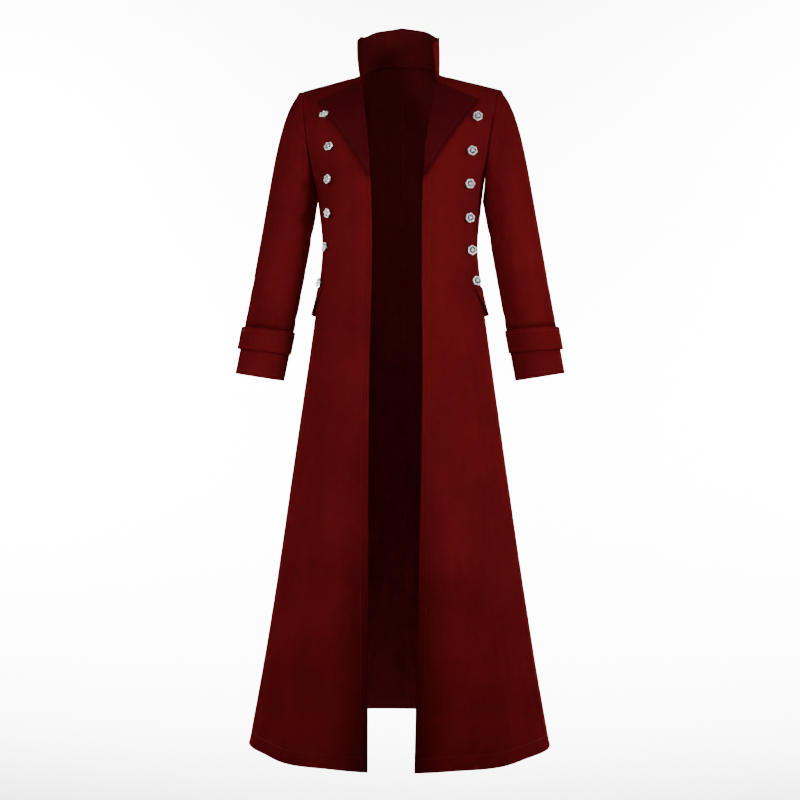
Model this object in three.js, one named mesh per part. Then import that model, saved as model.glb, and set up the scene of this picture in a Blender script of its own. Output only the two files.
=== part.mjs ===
// A floor-length double-breasted renaissance coat, worn by nobody and open down the front.
// Millimetres. X runs to the viewer's right, the front faces -Y and Z is up.
// The origin is the middle of the neck, at the height where neck and shoulder seams meet.
// Every piece is a thin cloth wall. Left and right are the viewer's.

import * as THREE from 'three';
import { mergeVertices } from 'three/addons/utils/BufferGeometryUtils.js';

// Cloth and seams.
const CLOTH = 2.0;
const DOUBLE_CLOTH = 2.6;
const SEAM_GAP = 0.3;
const LAID_ON = 0.8;

// Heights of the main levels.
const HEM_Z = -1391;
const ARMPIT_Z = -262;
const BREAK_Z = -228;

// Rings of the body from the hem to the armpit: height, half width, the depths of
// front and back, and how square the ring is (2 is an ellipse).
const RINGS = [
  { z: HEM_Z, half: 310, front: 284, back: 284, power: 2.15 },
  { z: -1240, half: 284, front: 254, back: 256, power: 2.12 },
  { z: -1040, half: 252, front: 215, back: 219, power: 2.1 },
  { z: -850, half: 225, front: 181, back: 187, power: 2.1 },
  { z: -681, half: 202, front: 152, back: 159, power: 2.2 },
  { z: -534, half: 182, front: 128, back: 132, power: 2.3 },
  { z: -430, half: 168.5, front: 112, back: 110, power: 2.4 },
  { z: -355, half: 163, front: 105, back: 98, power: 2.45 },
  { z: ARMPIT_Z, half: 172, front: 112, back: 106, power: 2.6 },
];

// The free front edge from the hem to the neck: height and distance from the middle.
const FRONT_EDGE = [
  { z: HEM_Z, x: 45 },
  { z: -1100, x: 49 },
  { z: -681, x: 54 },
  { z: -366, x: 51 },
  { z: BREAK_Z, x: 54 },
  { z: -110, x: 66 },
  { z: 0, x: 83 },
];

// Soft upright flutes of the skirt: place round the body from the middle front,
// width of the flute, and how far it stands out at the hem. Below zero is a hollow.
const FLUTES = [
  { angle: 22, width: 8, height: -4 },
  { angle: 38, width: 9, height: 6 },
  { angle: 58, width: 9, height: -5 },
  { angle: 78, width: 10, height: 5 },
  { angle: 101, width: 9, height: -5 },
  { angle: 121, width: 10, height: 7 },
  { angle: 142, width: 9, height: -6 },
  { angle: 163, width: 9, height: 6 },
];
const FLUTE_TOP_Z = -520;
const FLUTE_FADE = 1.3;

// Shoulder and neck.
const NECK = { x: 83, y: 5, z: 0 };
const SHOULDER = { x: 206, y: 5, z: -31 };
const BACK_NECK = { y: 66, z: 36 };
const NECK_POWER = 2.2;
const SHOULDER_POWER = 2.2;
const ARMHOLE_DEEPEST = 0.76;
const ARMHOLE_TURN = 0.5;

// Divisions of the walls. The back's columns give the corner of neck and shoulder
// a column of its own.
const SKIRT_ROWS = 17;
const ARMHOLE_ROWS = 8;
const FRONT_COLUMNS = [0, 0.09, 0.18, 0.28, 0.38, 0.48, 0.58, 0.68, 0.78, 0.89, 1];
const BACK_COLUMNS = [0, 0.09, 0.18, 0.235, 0.28, 0.38, 0.5, 0.62, 0.74, 0.87, 1];

// Sleeve.
const BICEPS = { x: 230.5, y: 0, z: -287, half: 52.5, depth: 70 };
const CUFF = { x: 292, y: -30, z: -633, half: 52, depth: 47 };
const SLEEVE_TILT = THREE.MathUtils.degToRad(9);
const CAP_ROWS = 6;
const ARM_ROWS = 10;
const CAP_TANGENT_TOP = new THREE.Vector3(0.82, 0, -0.57);
const CAP_TANGENT_LOW = new THREE.Vector3(0.2, 0, -0.98);
const CAP_SWELL = 0.25;
const CAP_HANDLES = { start: 0.19, end: 0.4 };

// Strap round each sleeve: where it starts and ends along the arm, and how far it
// stands off on the inner and the outer side.
const STRAP = { top: 0.715, bottom: 0.845, inner: 0.8, outer: 3.6, rows: 3 };

// Collar: where its front ends lie, how far its top leans in there and how suddenly,
// and the height of its top edge from the middle back (0) to a front end (1).
const COLLAR = { endZ: -16, lean: 9, leanPower: 5, spread: 1.5, rows: 4, neckColumns: 4 };
const COLLAR_END_COLUMNS = 3;
const COLLAR_TOP = [
  { share: 0, z: 117 },
  { share: 0.3, z: 106 },
  { share: 0.57, z: 76 },
  { share: 1, z: 60 },
];

// Lapel: where its top edge starts on the fold, its tip, and how far the outer edge
// hangs hollow across and down. It starts a little above the foot of the fold.
const LAPEL = { rootZ: -27, tipX: 163, tipZ: -66, hollowX: 5.6, hollowZ: 4.2, toe: 0.05 };
const LAPEL_GRID = { rows: 9, columns: 6 };

// Pocket flap: angles of its top line, how far its ends slant back towards the hem,
// its heights, how far the hem of the flap stands off and how its face curls there.
const FLAP = { from: 62, to: 124, slant: 20, topZ: -446, bottomZ: -504, flare: 6, curl: 1.5 };
const FLAP_GRID = { rows: 3, columns: 7 };

// Buttons from the top down: height, distance from the middle, how much of the way
// from square on the cloth to straight ahead each one turns (below zero is outward),
// and how many degrees it nods (below zero is up). The columns hang a little unevenly.
const BUTTONS = {
  right: [
    { z: -103, x: 163, ahead: 0.6, nod: 4 },
    { z: -175, x: 152, ahead: 0.55, nod: -5 },
    { z: -239, x: 146, ahead: 0.6, nod: 6 },
    { z: -308, x: 145, ahead: 0.55, nod: -3 },
    { z: -373, x: 148, ahead: 0.5, nod: 5 },
    { z: -437, x: 158, ahead: 0.55, nod: -6 },
  ],
  left: [
    { z: -101, x: 149, ahead: -0.15, nod: -20 },
    { z: -167, x: 137, ahead: -0.35, nod: -20 },
    { z: -230, x: 138, ahead: -0.35, nod: -18 },
    { z: -297, x: 139, ahead: -0.3, nod: -10 },
    { z: -366, x: 147, ahead: -0.1, nod: -16 },
    { z: -439, x: 160, ahead: 0, nod: -10 },
  ],
};
const BUTTON_REACH = 40;
const BUTTON_SIDES = 12;
const BUTTON_PROFILE = [
  [0, 0], [2.6, 0], [2.6, 5.4], [10, 5.8], [10.75, 7.2], [8.2, 9.2], [6.6, 8.4], [0, 9.8],
];

// Colours.
const OUTER_RED = 0x540809;
const LAPEL_RED = 0x4a0709;
const SILVER = 0xb9bbc0;

const clothMaterial = (colour) =>
  new THREE.MeshStandardMaterial({ color: colour, roughness: 0.72, metalness: 0 });
const metalMaterial = () =>
  new THREE.MeshStandardMaterial({ color: SILVER, roughness: 0.28, metalness: 1 });

const { lerp, clamp, degToRad, radToDeg } = THREE.MathUtils;

// A smooth value of one column of a table, at a place in its key column, whose
// values rise from row to row. The key is the height unless another is named.
function along(table, column, place, key = 'z') {
  const last = table.length - 1;
  let i = 0;
  while (i < last - 1 && place > table[i + 1][key]) i += 1;
  const slope = (a, b) =>
    (table[b][column] - table[a][column]) / (table[b][key] - table[a][key]);
  const before = slope(Math.max(i - 1, 0), Math.min(i + 1, last));
  const after = slope(i, Math.min(i + 2, last));
  const span = table[i + 1][key] - table[i][key];
  const t = clamp((place - table[i][key]) / span, 0, 1);
  const rise = t * t * (3 - 2 * t);
  const ease = t * (1 - t) * span;
  const bend = before * ease * (1 - t) - after * ease * t;
  return lerp(table[i][column], table[i + 1][column], rise) + bend;
}

// How far the flutes push the cloth out, as a share of the ring, at one place.
function fluting(angle, z, half) {
  const fade = clamp((FLUTE_TOP_Z - z) / (FLUTE_TOP_Z - HEM_Z), 0, 1);
  let out = 0;
  for (const flute of FLUTES) {
    out += flute.height * Math.exp(-(((angle - flute.angle) / flute.width) ** 2));
  }
  return (out * fade ** FLUTE_FADE) / half;
}

// Share of the front or back depth that the armhole edge keeps, by how far up it is.
function armholeShare(up) {
  return ARMHOLE_DEEPEST * Math.sin((Math.PI / 2) * Math.min(1, up / ARMHOLE_TURN));
}

// The line that the cloth rises to: the shoulder seam, and behind it the back neck.
function topLine(x, isBack) {
  if (x >= NECK.x) {
    const t = (x - NECK.x) / (SHOULDER.x - NECK.x);
    return { y: lerp(NECK.y, SHOULDER.y, t), z: lerp(NECK.z, SHOULDER.z, t) };
  }
  if (!isBack) return { y: NECK.y, z: NECK.z };
  const share = (1 - (x / NECK.x) ** NECK_POWER) ** (1 / NECK_POWER);
  return { y: lerp(NECK.y, BACK_NECK.y, share), z: lerp(NECK.z, BACK_NECK.z, share) };
}

// Sizes of the body at one level: 0 is the hem, 1 the armpit and 2 the shoulder line.
function levelSizes(level) {
  const z = lerp(HEM_Z, ARMPIT_Z, Math.min(level, 1));
  const rise = (Math.PI / 2) * clamp(level - 1, 0, 1);
  const up = Math.sin(rise) ** (2 / SHOULDER_POWER);
  const hold = Math.cos(rise) ** (2 / SHOULDER_POWER);
  const power = along(RINGS, 'power', z);
  const share = armholeShare(up);
  const armX = lerp(RINGS[RINGS.length - 1].half, SHOULDER.x, up);
  const half = level <= 1 ? along(RINGS, 'half', z) : armX / (1 - share ** power) ** (1 / power);
  const armAngle = radToDeg(Math.acos(share ** (power / 2)));
  return { z, up, hold, power, half, armAngle };
}

// A point of the body's outer face. The angle is 0 at the middle front, 90 at the
// side and 180 at the middle back.
function bodyPoint(angle, level, isBack) {
  const { z, up, hold, power, half } = levelSizes(level);
  const turn = degToRad(isBack ? 180 - angle : angle);
  const depth = isBack ? along(RINGS, 'back', z) : -along(RINGS, 'front', z);
  const swell = 1 + fluting(angle, z, half);
  const x = half * swell * Math.abs(Math.sin(turn)) ** (2 / power);
  const y = depth * swell * Math.abs(Math.cos(turn)) ** (2 / power);
  const top = topLine(x, isBack);
  return new THREE.Vector3(x, lerp(top.y, y, hold), lerp(z, top.z, up));
}

// The outward direction of the body's face at the same place, from points a small
// step to each side. The exact middles of front and back are kept clear of.
function bodyNormal(angle, level, isBack) {
  const side = 90;
  const middleMargin = 0.5;
  const turnStep = 0.02;
  const levelStep = 0.002;
  const low = isBack ? side : middleMargin;
  const high = isBack ? 2 * side - middleMargin : side;
  const a = clamp(angle, low, high);
  const a0 = Math.max(a - turnStep, low);
  const a1 = Math.min(a + turnStep, high);
  const l0 = Math.max(level - levelStep, 0);
  const l1 = Math.min(level + levelStep, 2);
  const across = bodyPoint(a1, level, isBack).sub(bodyPoint(a0, level, isBack));
  const upward = bodyPoint(a, l1, isBack).sub(bodyPoint(a, l0, isBack));
  return across.cross(upward).normalize();
}

// The angle of the free front edge at one level.
function edgeAngle(level) {
  const { z, up, power, half } = levelSizes(level);
  const x = along(FRONT_EDGE, 'x', lerp(z, NECK.z, up));
  return radToDeg(Math.asin(Math.min(1, x / half) ** (power / 2)));
}

// The level of the front face at one height, for places below and above the armpit.
function levelAt(x, z) {
  if (z <= ARMPIT_Z) return (z - HEM_Z) / (ARMPIT_Z - HEM_Z);
  const up = clamp((z - ARMPIT_Z) / (topLine(x, false).z - ARMPIT_Z), 0, 1);
  return 1 + Math.asin(up ** (SHOULDER_POWER / 2)) / (Math.PI / 2);
}

// A place on the front face, given by its distance from the middle and its height.
function frontPlace(x, z) {
  const level = levelAt(x, z);
  const { power, half } = levelSizes(level);
  const angle = radToDeg(Math.asin(Math.min(1, x / half) ** (power / 2)));
  return { angle, level };
}

// Levels of the rows of a body panel.
function panelLevels() {
  const levels = [];
  for (let i = 0; i <= SKIRT_ROWS; i += 1) levels.push(i / SKIRT_ROWS);
  for (let i = 1; i <= ARMHOLE_ROWS; i += 1) levels.push(1 + i / ARMHOLE_ROWS);
  return levels;
}

// Moves the outermost points of a grid in by half a seam gap, on the sides named.
function trimmed(grid, sides) {
  const rows = grid.length;
  const columns = grid[0].length;
  const half = SEAM_GAP / 2;
  const pull = (point, next) => point.addScaledVector(next.clone().sub(point).normalize(), half);
  for (let r = 0; r < rows; r += 1) {
    if (sides.includes('start')) pull(grid[r][0], grid[r][1]);
    if (sides.includes('end')) pull(grid[r][columns - 1], grid[r][columns - 2]);
  }
  for (let c = 0; c < columns; c += 1) {
    if (sides.includes('top')) pull(grid[rows - 1][c], grid[rows - 2][c]);
  }
  return grid;
}

// The face behind a grid of points, a cloth's thickness further in.
function behind(grid, normals, thickness) {
  return grid.map((row, r) =>
    row.map((point, c) => point.clone().addScaledVector(normals[r][c], -thickness)));
}

// Outward directions of a free grid, from its neighbouring points.
function gridNormals(grid, isLoop) {
  const rows = grid.length;
  const columns = grid[0].length;
  const wrap = (c) => (isLoop ? (c + columns) % columns : clamp(c, 0, columns - 1));
  return grid.map((row, r) =>
    row.map((point, c) => {
      const across = row[wrap(c + 1)].clone().sub(row[wrap(c - 1)]);
      const upward = grid[Math.min(r + 1, rows - 1)][c].clone().sub(grid[Math.max(r - 1, 0)][c]);
      return across.cross(upward).normalize();
    }));
}

// A closed cloth wall between an outer and an inner grid. A loop joins its last
// column to its first.
function wall(outer, inner, isLoop = false) {
  const rows = outer.length;
  const columns = outer[0].length;
  const layer = rows * columns;
  const points = [...outer.flat(), ...inner.flat()];
  const at = (r, c, face) => face * layer + r * columns + (c % columns);
  const faces = [];
  const quad = (a, b, c, d) => faces.push(a, b, c, a, c, d);
  const spans = isLoop ? columns : columns - 1;
  for (let r = 0; r < rows - 1; r += 1) {
    for (let c = 0; c < spans; c += 1) {
      quad(at(r, c, 0), at(r, c + 1, 0), at(r + 1, c + 1, 0), at(r + 1, c, 0));
      quad(at(r + 1, c, 1), at(r + 1, c + 1, 1), at(r, c + 1, 1), at(r, c, 1));
    }
  }
  for (let c = 0; c < spans; c += 1) {
    quad(at(0, c + 1, 0), at(0, c, 0), at(0, c, 1), at(0, c + 1, 1));
    quad(at(rows - 1, c, 0), at(rows - 1, c + 1, 0), at(rows - 1, c + 1, 1), at(rows - 1, c, 1));
  }
  if (!isLoop) {
    for (let r = 0; r < rows - 1; r += 1) {
      quad(at(r, 0, 0), at(r + 1, 0, 0), at(r + 1, 0, 1), at(r, 0, 1));
      quad(at(r + 1, columns - 1, 0), at(r, columns - 1, 0), at(r, columns - 1, 1),
        at(r + 1, columns - 1, 1));
    }
  }
  return facingOut(points, faces);
}

// A geometry of these faces, turned so that they all face out.
function facingOut(points, faces) {
  let volume = 0;
  for (let i = 0; i < faces.length; i += 3) {
    const [a, b, c] = [points[faces[i]], points[faces[i + 1]], points[faces[i + 2]]];
    volume += a.dot(b.clone().cross(c));
  }
  const index = volume > 0 ? faces : faces.slice().reverse();
  const geometry = new THREE.BufferGeometry().setFromPoints(points);
  geometry.setIndex(index);
  return geometry;
}

// Mirrors a grid when the piece belongs to the viewer's left side.
function onSide(grid, side) {
  return grid.map((row) => row.map((p) => new THREE.Vector3(p.x * side, p.y, p.z)));
}

function sidedWall(outer, inner, side, isLoop = false) {
  return wall(onSide(outer, side), onSide(inner, side), isLoop);
}

// Front and back panels.
function bodyPanel(isBack) {
  const grid = [];
  const normals = [];
  for (const level of panelLevels()) {
    const sideAngle = level <= 1 ? 90 : levelSizes(level).armAngle;
    const from = isBack ? 180 : edgeAngle(level);
    const to = isBack ? 180 - sideAngle : sideAngle;
    const columns = isBack ? BACK_COLUMNS : FRONT_COLUMNS;
    grid.push(columns.map((u) => bodyPoint(lerp(from, to, u), level, isBack)));
    normals.push(columns.map((u) => bodyNormal(lerp(from, to, u), level, isBack)));
  }
  trimmed(grid, isBack ? ['start', 'end', 'top'] : ['end', 'top']);
  return { outer: grid, inner: behind(grid, normals, CLOTH), normals };
}

// The armhole edge as a loop of stations: down the front from the shoulder point to
// the armpit, and up the back. Each has its outer point and the cloth's direction.
function armholeLoop(frontPanel, backPanel) {
  const stations = [];
  const last = FRONT_COLUMNS.length - 1;
  for (let i = 0; i < 2 * ARMHOLE_ROWS; i += 1) {
    const isFront = i < ARMHOLE_ROWS;
    const panel = isFront ? frontPanel : backPanel;
    const up = isFront ? ARMHOLE_ROWS - i : i - ARMHOLE_ROWS;
    const row = SKIRT_ROWS + up;
    stations.push({ point: panel.outer[row][last], normal: panel.normals[row][last] });
  }
  return stations;
}

// A ring of the sleeve: the middle, and its half width and half depth.
function sleeveRing(t) {
  const bend = t * t;
  return {
    middle: new THREE.Vector3(lerp(BICEPS.x, CUFF.x, t), lerp(BICEPS.y, CUFF.y, bend),
      lerp(BICEPS.z, CUFF.z, t)),
    half: lerp(BICEPS.half, CUFF.half, t),
    depth: lerp(BICEPS.depth, CUFF.depth, t),
  };
}

// A point of the sleeve's outer face below the cap. The turn is 0 on the outer side
// and runs over the front to the inner side.
function sleevePoint(turn, t) {
  const ring = sleeveRing(t);
  const outward = new THREE.Vector3(Math.cos(SLEEVE_TILT), 0, Math.sin(SLEEVE_TILT));
  return ring.middle
    .addScaledVector(outward, ring.half * Math.cos(turn))
    .addScaledVector(new THREE.Vector3(0, -1, 0), ring.depth * Math.sin(turn));
}

// The sleeve: a cap that leaves the armhole and closes to the biceps, then the arm.
function sleeve(loop) {
  const count = loop.length;
  const justBelow = 0.05;
  const turnOf = (i) => (2 * Math.PI * i) / count;
  const starts = loop.map((station, i) => {
    const low = (1 - Math.cos(turnOf(i))) / 2;
    const tangent = CAP_TANGENT_TOP.clone().lerp(CAP_TANGENT_LOW, low);
    tangent.y = -CAP_SWELL * Math.sin(turnOf(i));
    tangent.normalize();
    const run = loop[(i + 1) % count].point.clone().sub(loop[(i + count - 1) % count].point);
    const away = station.normal.clone().cross(run).normalize();
    if (away.x + away.z < 0) away.negate();
    const open = clamp(Math.atan2(tangent.dot(station.normal), tangent.dot(away)), 0, Math.PI);
    const shift = away.clone().multiplyScalar(Math.cos(open / 2))
      .addScaledVector(station.normal, Math.sin(open / 2));
    const point = station.point.clone().addScaledVector(shift, SEAM_GAP);
    const normal = station.normal.clone().multiplyScalar(Math.cos(open))
      .addScaledVector(away, -Math.sin(open));
    return { point, normal, tangent };
  });
  const grid = [];
  for (let r = 0; r <= CAP_ROWS; r += 1) {
    grid.push(starts.map(({ point, tangent }, i) => {
      const end = sleevePoint(turnOf(i), 0);
      const reach = point.distanceTo(end);
      const armward = sleevePoint(turnOf(i), justBelow).sub(end).normalize();
      const curve = new THREE.CubicBezierCurve3(point,
        point.clone().addScaledVector(tangent, CAP_HANDLES.start * reach),
        end.clone().addScaledVector(armward, -CAP_HANDLES.end * reach), end);
      return curve.getPoint(r / CAP_ROWS);
    }));
  }
  for (let r = 1; r <= ARM_ROWS; r += 1) {
    grid.push(starts.map((start, i) => sleevePoint(turnOf(i), r / ARM_ROWS)));
  }
  const normals = gridNormals(grid, true);
  normals[0] = starts.map((start) => start.normal);
  return { outer: grid, inner: behind(grid, outwardFrom(normals, grid), CLOTH) };
}

// Turns free directions of a tube so that each looks away from the tube's middle.
function outwardFrom(normals, grid) {
  return normals.map((row, r) => {
    if (r === 0) return row;
    const middle = grid[r].reduce((sum, p) => sum.add(p), new THREE.Vector3())
      .multiplyScalar(1 / grid[r].length);
    return row.map((n, c) => (n.dot(grid[r][c].clone().sub(middle)) < 0 ? n.negate() : n));
  });
}

// The strap: a band round the sleeve that stands off most on the outer side.
function strap(count) {
  const rings = [];
  for (let r = 0; r <= STRAP.rows; r += 1) {
    const t = lerp(STRAP.top, STRAP.bottom, r / STRAP.rows);
    const middle = sleeveRing(t).middle;
    rings.push(Array.from({ length: count }, (_, i) => {
      const turn = (2 * Math.PI * i) / count;
      const point = sleevePoint(turn, t);
      const out = point.clone().sub(middle).normalize();
      const off = lerp(STRAP.inner, STRAP.outer, ((1 + Math.cos(turn)) / 2) ** 2);
      return { near: point.clone().addScaledVector(out, off), out };
    }));
  }
  const inner = rings.map((ring) => ring.map(({ near }) => near));
  const outer = rings.map((ring) =>
    ring.map(({ near, out }) => near.clone().addScaledVector(out, DOUBLE_CLOTH)));
  return { outer, inner };
}

// Points along the neck edge, from the middle back over the neck corner and down the
// folded front edge to the collar's end, for one side.
function neckEdge() {
  const points = [];
  for (let c = 0; c <= COLLAR.neckColumns; c += 1) {
    const { armAngle } = levelSizes(2);
    points.push(bodyPoint(180 - armAngle * BACK_COLUMNS[c], 2, true));
  }
  for (let i = 1; i <= COLLAR_END_COLUMNS; i += 1) {
    const z = lerp(NECK.z, COLLAR.endZ, (i / COLLAR_END_COLUMNS) ** 2);
    const x = along(FRONT_EDGE, 'x', z);
    const place = frontPlace(x, z);
    points.push(bodyPoint(place.angle, place.level, false));
  }
  return points;
}

// The standing collar, from its left end round the back to its right end.
function collar() {
  const half = neckEdge();
  const mirroredHalf = half.slice(1).reverse()
    .map((p) => new THREE.Vector3(-p.x, p.y, p.z));
  const base = [...mirroredHalf, ...half];
  const middle = (base.length - 1) / 2;
  const outer = [];
  const inner = [];
  for (let r = 0; r <= COLLAR.rows; r += 1) {
    const rise = r / COLLAR.rows;
    const ring = base.map((point, i) => {
      const share = Math.abs(i - middle) / middle;
      const height = along(COLLAR_TOP, 'z', share, 'share') - point.z - SEAM_GAP;
      const lean = COLLAR.lean * share ** COLLAR.leanPower * Math.sin((Math.PI / 2) * rise);
      const next = base[Math.min(i + 1, base.length - 1)];
      const previous = base[Math.max(i - 1, 0)];
      const run = next.clone().sub(previous).setZ(0).normalize();
      const out = new THREE.Vector3(-run.y, run.x, 0);
      if (out.dot(point) < 0) out.negate();
      const x = point.x - Math.sign(point.x) * lean;
      const foot = new THREE.Vector3(x, point.y, point.z + SEAM_GAP + height * rise);
      const place = foot.addScaledVector(out, COLLAR.spread * Math.sin(Math.PI * rise));
      return { place, out };
    });
    outer.push(ring.map(({ place }) => place));
    inner.push(ring.map(({ place, out }) => place.clone().addScaledVector(out, -DOUBLE_CLOTH)));
  }
  return wall(outer, inner);
}

// The lapel: cloth folded out of the front edge and laid back on the chest.
function lapel() {
  const near = [];
  const far = [];
  for (let r = 0; r <= LAPEL_GRID.rows; r += 1) {
    const rise = lerp(LAPEL.toe, 1, r / LAPEL_GRID.rows);
    const foldZ = lerp(BREAK_Z, LAPEL.rootZ, rise);
    const foldX = along(FRONT_EDGE, 'x', foldZ);
    const breakX = along(FRONT_EDGE, 'x', BREAK_Z);
    const sag = Math.sin(Math.PI * rise);
    const edgeX = lerp(breakX, LAPEL.tipX, rise) - LAPEL.hollowX * sag;
    const edgeZ = lerp(BREAK_Z, LAPEL.tipZ, rise) - LAPEL.hollowZ * sag;
    const nearRow = [];
    const farRow = [];
    for (let c = 0; c <= LAPEL_GRID.columns; c += 1) {
      const u = c / LAPEL_GRID.columns;
      const { angle, level } = frontPlace(lerp(foldX, edgeX, u), lerp(foldZ, edgeZ, u));
      const point = bodyPoint(angle, level, false);
      const normal = bodyNormal(angle, level, false);
      nearRow.push(point.clone().addScaledVector(normal, LAID_ON));
      farRow.push(point.clone().addScaledVector(normal, LAID_ON + DOUBLE_CLOTH));
    }
    near.push(nearRow);
    far.push(farRow);
  }
  return { outer: far, inner: near };
}

// The pocket flap: sewn along its top line over the side seam, its hem standing off.
function pocketFlap() {
  const near = [];
  const far = [];
  for (let r = 0; r <= FLAP_GRID.rows; r += 1) {
    const drop = r / FLAP_GRID.rows;
    const z = lerp(FLAP.topZ, FLAP.bottomZ, drop);
    const level = levelAt(0, z);
    const off = LAID_ON + FLAP.flare * drop ** FLAP.curl;
    const angles = Array.from({ length: FLAP_GRID.columns + 1 }, (_, c) =>
      lerp(FLAP.from, FLAP.to, c / FLAP_GRID.columns) + FLAP.slant * drop);
    const pairs = angles.map((angle) => {
      const isBack = angle > 90;
      const point = bodyPoint(angle, level, isBack);
      const normal = bodyNormal(angle, level, isBack);
      return [off, off + DOUBLE_CLOTH].map((d) => point.clone().addScaledVector(normal, d));
    });
    near.push(pairs.map(([inside]) => inside));
    far.push(pairs.map(([, outside]) => outside));
  }
  return { outer: far, inner: near };
}

// A shank button with a dished, twelve-sided face.
function buttonShape() {
  const profile = BUTTON_PROFILE.map(([radius, height]) => new THREE.Vector2(radius, height));
  const shape = new THREE.LatheGeometry(profile, BUTTON_SIDES);
  shape.deleteAttribute('normal');
  shape.deleteAttribute('uv');
  return mergeVertices(shape, 1e-3);
}

// Stands a button on its front panel, found by looking straight at the cloth.
function placeButton(mesh, panel, row, side) {
  const { angle, level } = frontPlace(row.x, row.z);
  const normal = bodyNormal(angle, level, false);
  normal.x *= side;
  const place = bodyPoint(angle, level, false);
  place.x *= side;
  const ray = new THREE.Raycaster(place.clone().addScaledVector(normal, BUTTON_REACH),
    normal.clone().negate());
  const [hit] = ray.intersectObject(panel);
  const axis = normal.clone().lerp(new THREE.Vector3(0, -1, 0), row.ahead).normalize()
    .applyAxisAngle(new THREE.Vector3(1, 0, 0), degToRad(row.nod));
  const shankRadius = BUTTON_PROFILE[1][0];
  const lift = SEAM_GAP + shankRadius * Math.sin(axis.angleTo(normal));
  mesh.quaternion.setFromUnitVectors(new THREE.Vector3(0, 1, 0), axis);
  mesh.position.copy(hit.point).addScaledVector(normal, lift);
}

const coat = new THREE.Group();

function addPiece(name, geometry, material) {
  const mesh = new THREE.Mesh(geometry, material);
  mesh.name = name;
  coat.add(mesh);
  return mesh;
}

const front = bodyPanel(false);
const back = bodyPanel(true);
const arm = sleeve(armholeLoop(front, back));
const band = strap(2 * ARMHOLE_ROWS);
const turnedFront = lapel();
const flap = pocketFlap();
const roundButton = buttonShape();

for (const [word, side] of [['left', -1], ['right', 1]]) {
  const panel = addPiece(`front_${word}`, sidedWall(front.outer, front.inner, side),
    clothMaterial(OUTER_RED));
  addPiece(`back_${word}`, sidedWall(back.outer, back.inner, side), clothMaterial(OUTER_RED));
  addPiece(`sleeve_${word}`, sidedWall(arm.outer, arm.inner, side, true),
    clothMaterial(OUTER_RED));
  addPiece(`cuff_strap_${word}`, sidedWall(band.outer, band.inner, side, true),
    clothMaterial(OUTER_RED));
  addPiece(`lapel_${word}`, sidedWall(turnedFront.outer, turnedFront.inner, side),
    clothMaterial(LAPEL_RED));
  addPiece(`pocket_flap_${word}`, sidedWall(flap.outer, flap.inner, side),
    clothMaterial(OUTER_RED));
  BUTTONS[word].forEach((row, i) => {
    const button = addPiece(`button_${word}_${i + 1}`, roundButton.clone(), metalMaterial());
    placeButton(button, panel, row, side);
  });
}
addPiece('collar', collar(), clothMaterial(OUTER_RED));

export default coat;
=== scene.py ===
# The looks of a floor-length double-breasted renaissance coat, worn by nobody.
# Metres. X runs to the viewer's right, the front faces -Y and Z is up. The origin is
# the middle of the neck. Left and right are the viewer's.

import math

import bpy
import numpy as np
from mathutils import Matrix, Vector


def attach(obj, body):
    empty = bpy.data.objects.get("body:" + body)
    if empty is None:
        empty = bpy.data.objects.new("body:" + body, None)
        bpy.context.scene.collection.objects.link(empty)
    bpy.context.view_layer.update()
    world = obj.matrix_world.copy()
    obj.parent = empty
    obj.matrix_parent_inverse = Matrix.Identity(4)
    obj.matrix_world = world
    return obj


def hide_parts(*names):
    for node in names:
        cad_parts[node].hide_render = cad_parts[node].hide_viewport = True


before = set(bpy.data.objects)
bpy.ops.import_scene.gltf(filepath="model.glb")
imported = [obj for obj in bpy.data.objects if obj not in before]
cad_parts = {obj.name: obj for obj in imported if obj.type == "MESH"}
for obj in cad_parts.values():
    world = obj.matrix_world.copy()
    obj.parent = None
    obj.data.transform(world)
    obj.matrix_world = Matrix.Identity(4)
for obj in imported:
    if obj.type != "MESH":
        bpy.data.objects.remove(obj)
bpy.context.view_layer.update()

MM = 0.001


def table(columns, *rows):
    """Named columns of numbers, from rows written below each other."""
    return {name: np.array(values, float) for name, values in zip(columns.split(), zip(*rows))}


def rows_of(columns, *rows):
    """The same as a list of records, one for each row."""
    return [dict(zip(columns.split(), row)) for row in rows]


# Camera: about level with the coat's middle, a little to the viewer's right of straight ahead.
EYE = {"distance": 3.0, "height": -0.681, "azimuth": 3.5, "focal_mm": 64.24, "sensor_mm": 36.0}

# Cloth.
CLOTH = 1.8 * MM
DOUBLE_CLOTH = 2.6 * MM
LAID_ON = 0.8 * MM

# Main levels.
HEM_Z = -1.391
ARMPIT_Z = -0.262
BREAK_Z = -0.228

# Rings of the body from hem to armpit: half width, depth of front and back, squareness.
RINGS = table(
    "z half front back power",
    (HEM_Z, 0.310, 0.284, 0.284, 2.15),
    (-1.240, 0.284, 0.254, 0.256, 2.12),
    (-1.040, 0.252, 0.215, 0.219, 2.10),
    (-0.850, 0.225, 0.181, 0.187, 2.10),
    (-0.681, 0.202, 0.152, 0.159, 2.20),
    (-0.534, 0.182, 0.128, 0.132, 2.30),
    (-0.430, 0.1685, 0.112, 0.110, 2.40),
    (-0.355, 0.163, 0.105, 0.098, 2.45),
    (ARMPIT_Z, 0.172, 0.112, 0.106, 2.60),
)

# The free front edge: height and distance from the middle.
FRONT_EDGE = table(
    "z x",
    (HEM_Z, 0.045),
    (-1.100, 0.049),
    (-0.681, 0.054),
    (-0.366, 0.051),
    (BREAK_Z, 0.054),
    (-0.110, 0.066),
    (0.0, 0.083),
)

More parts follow.
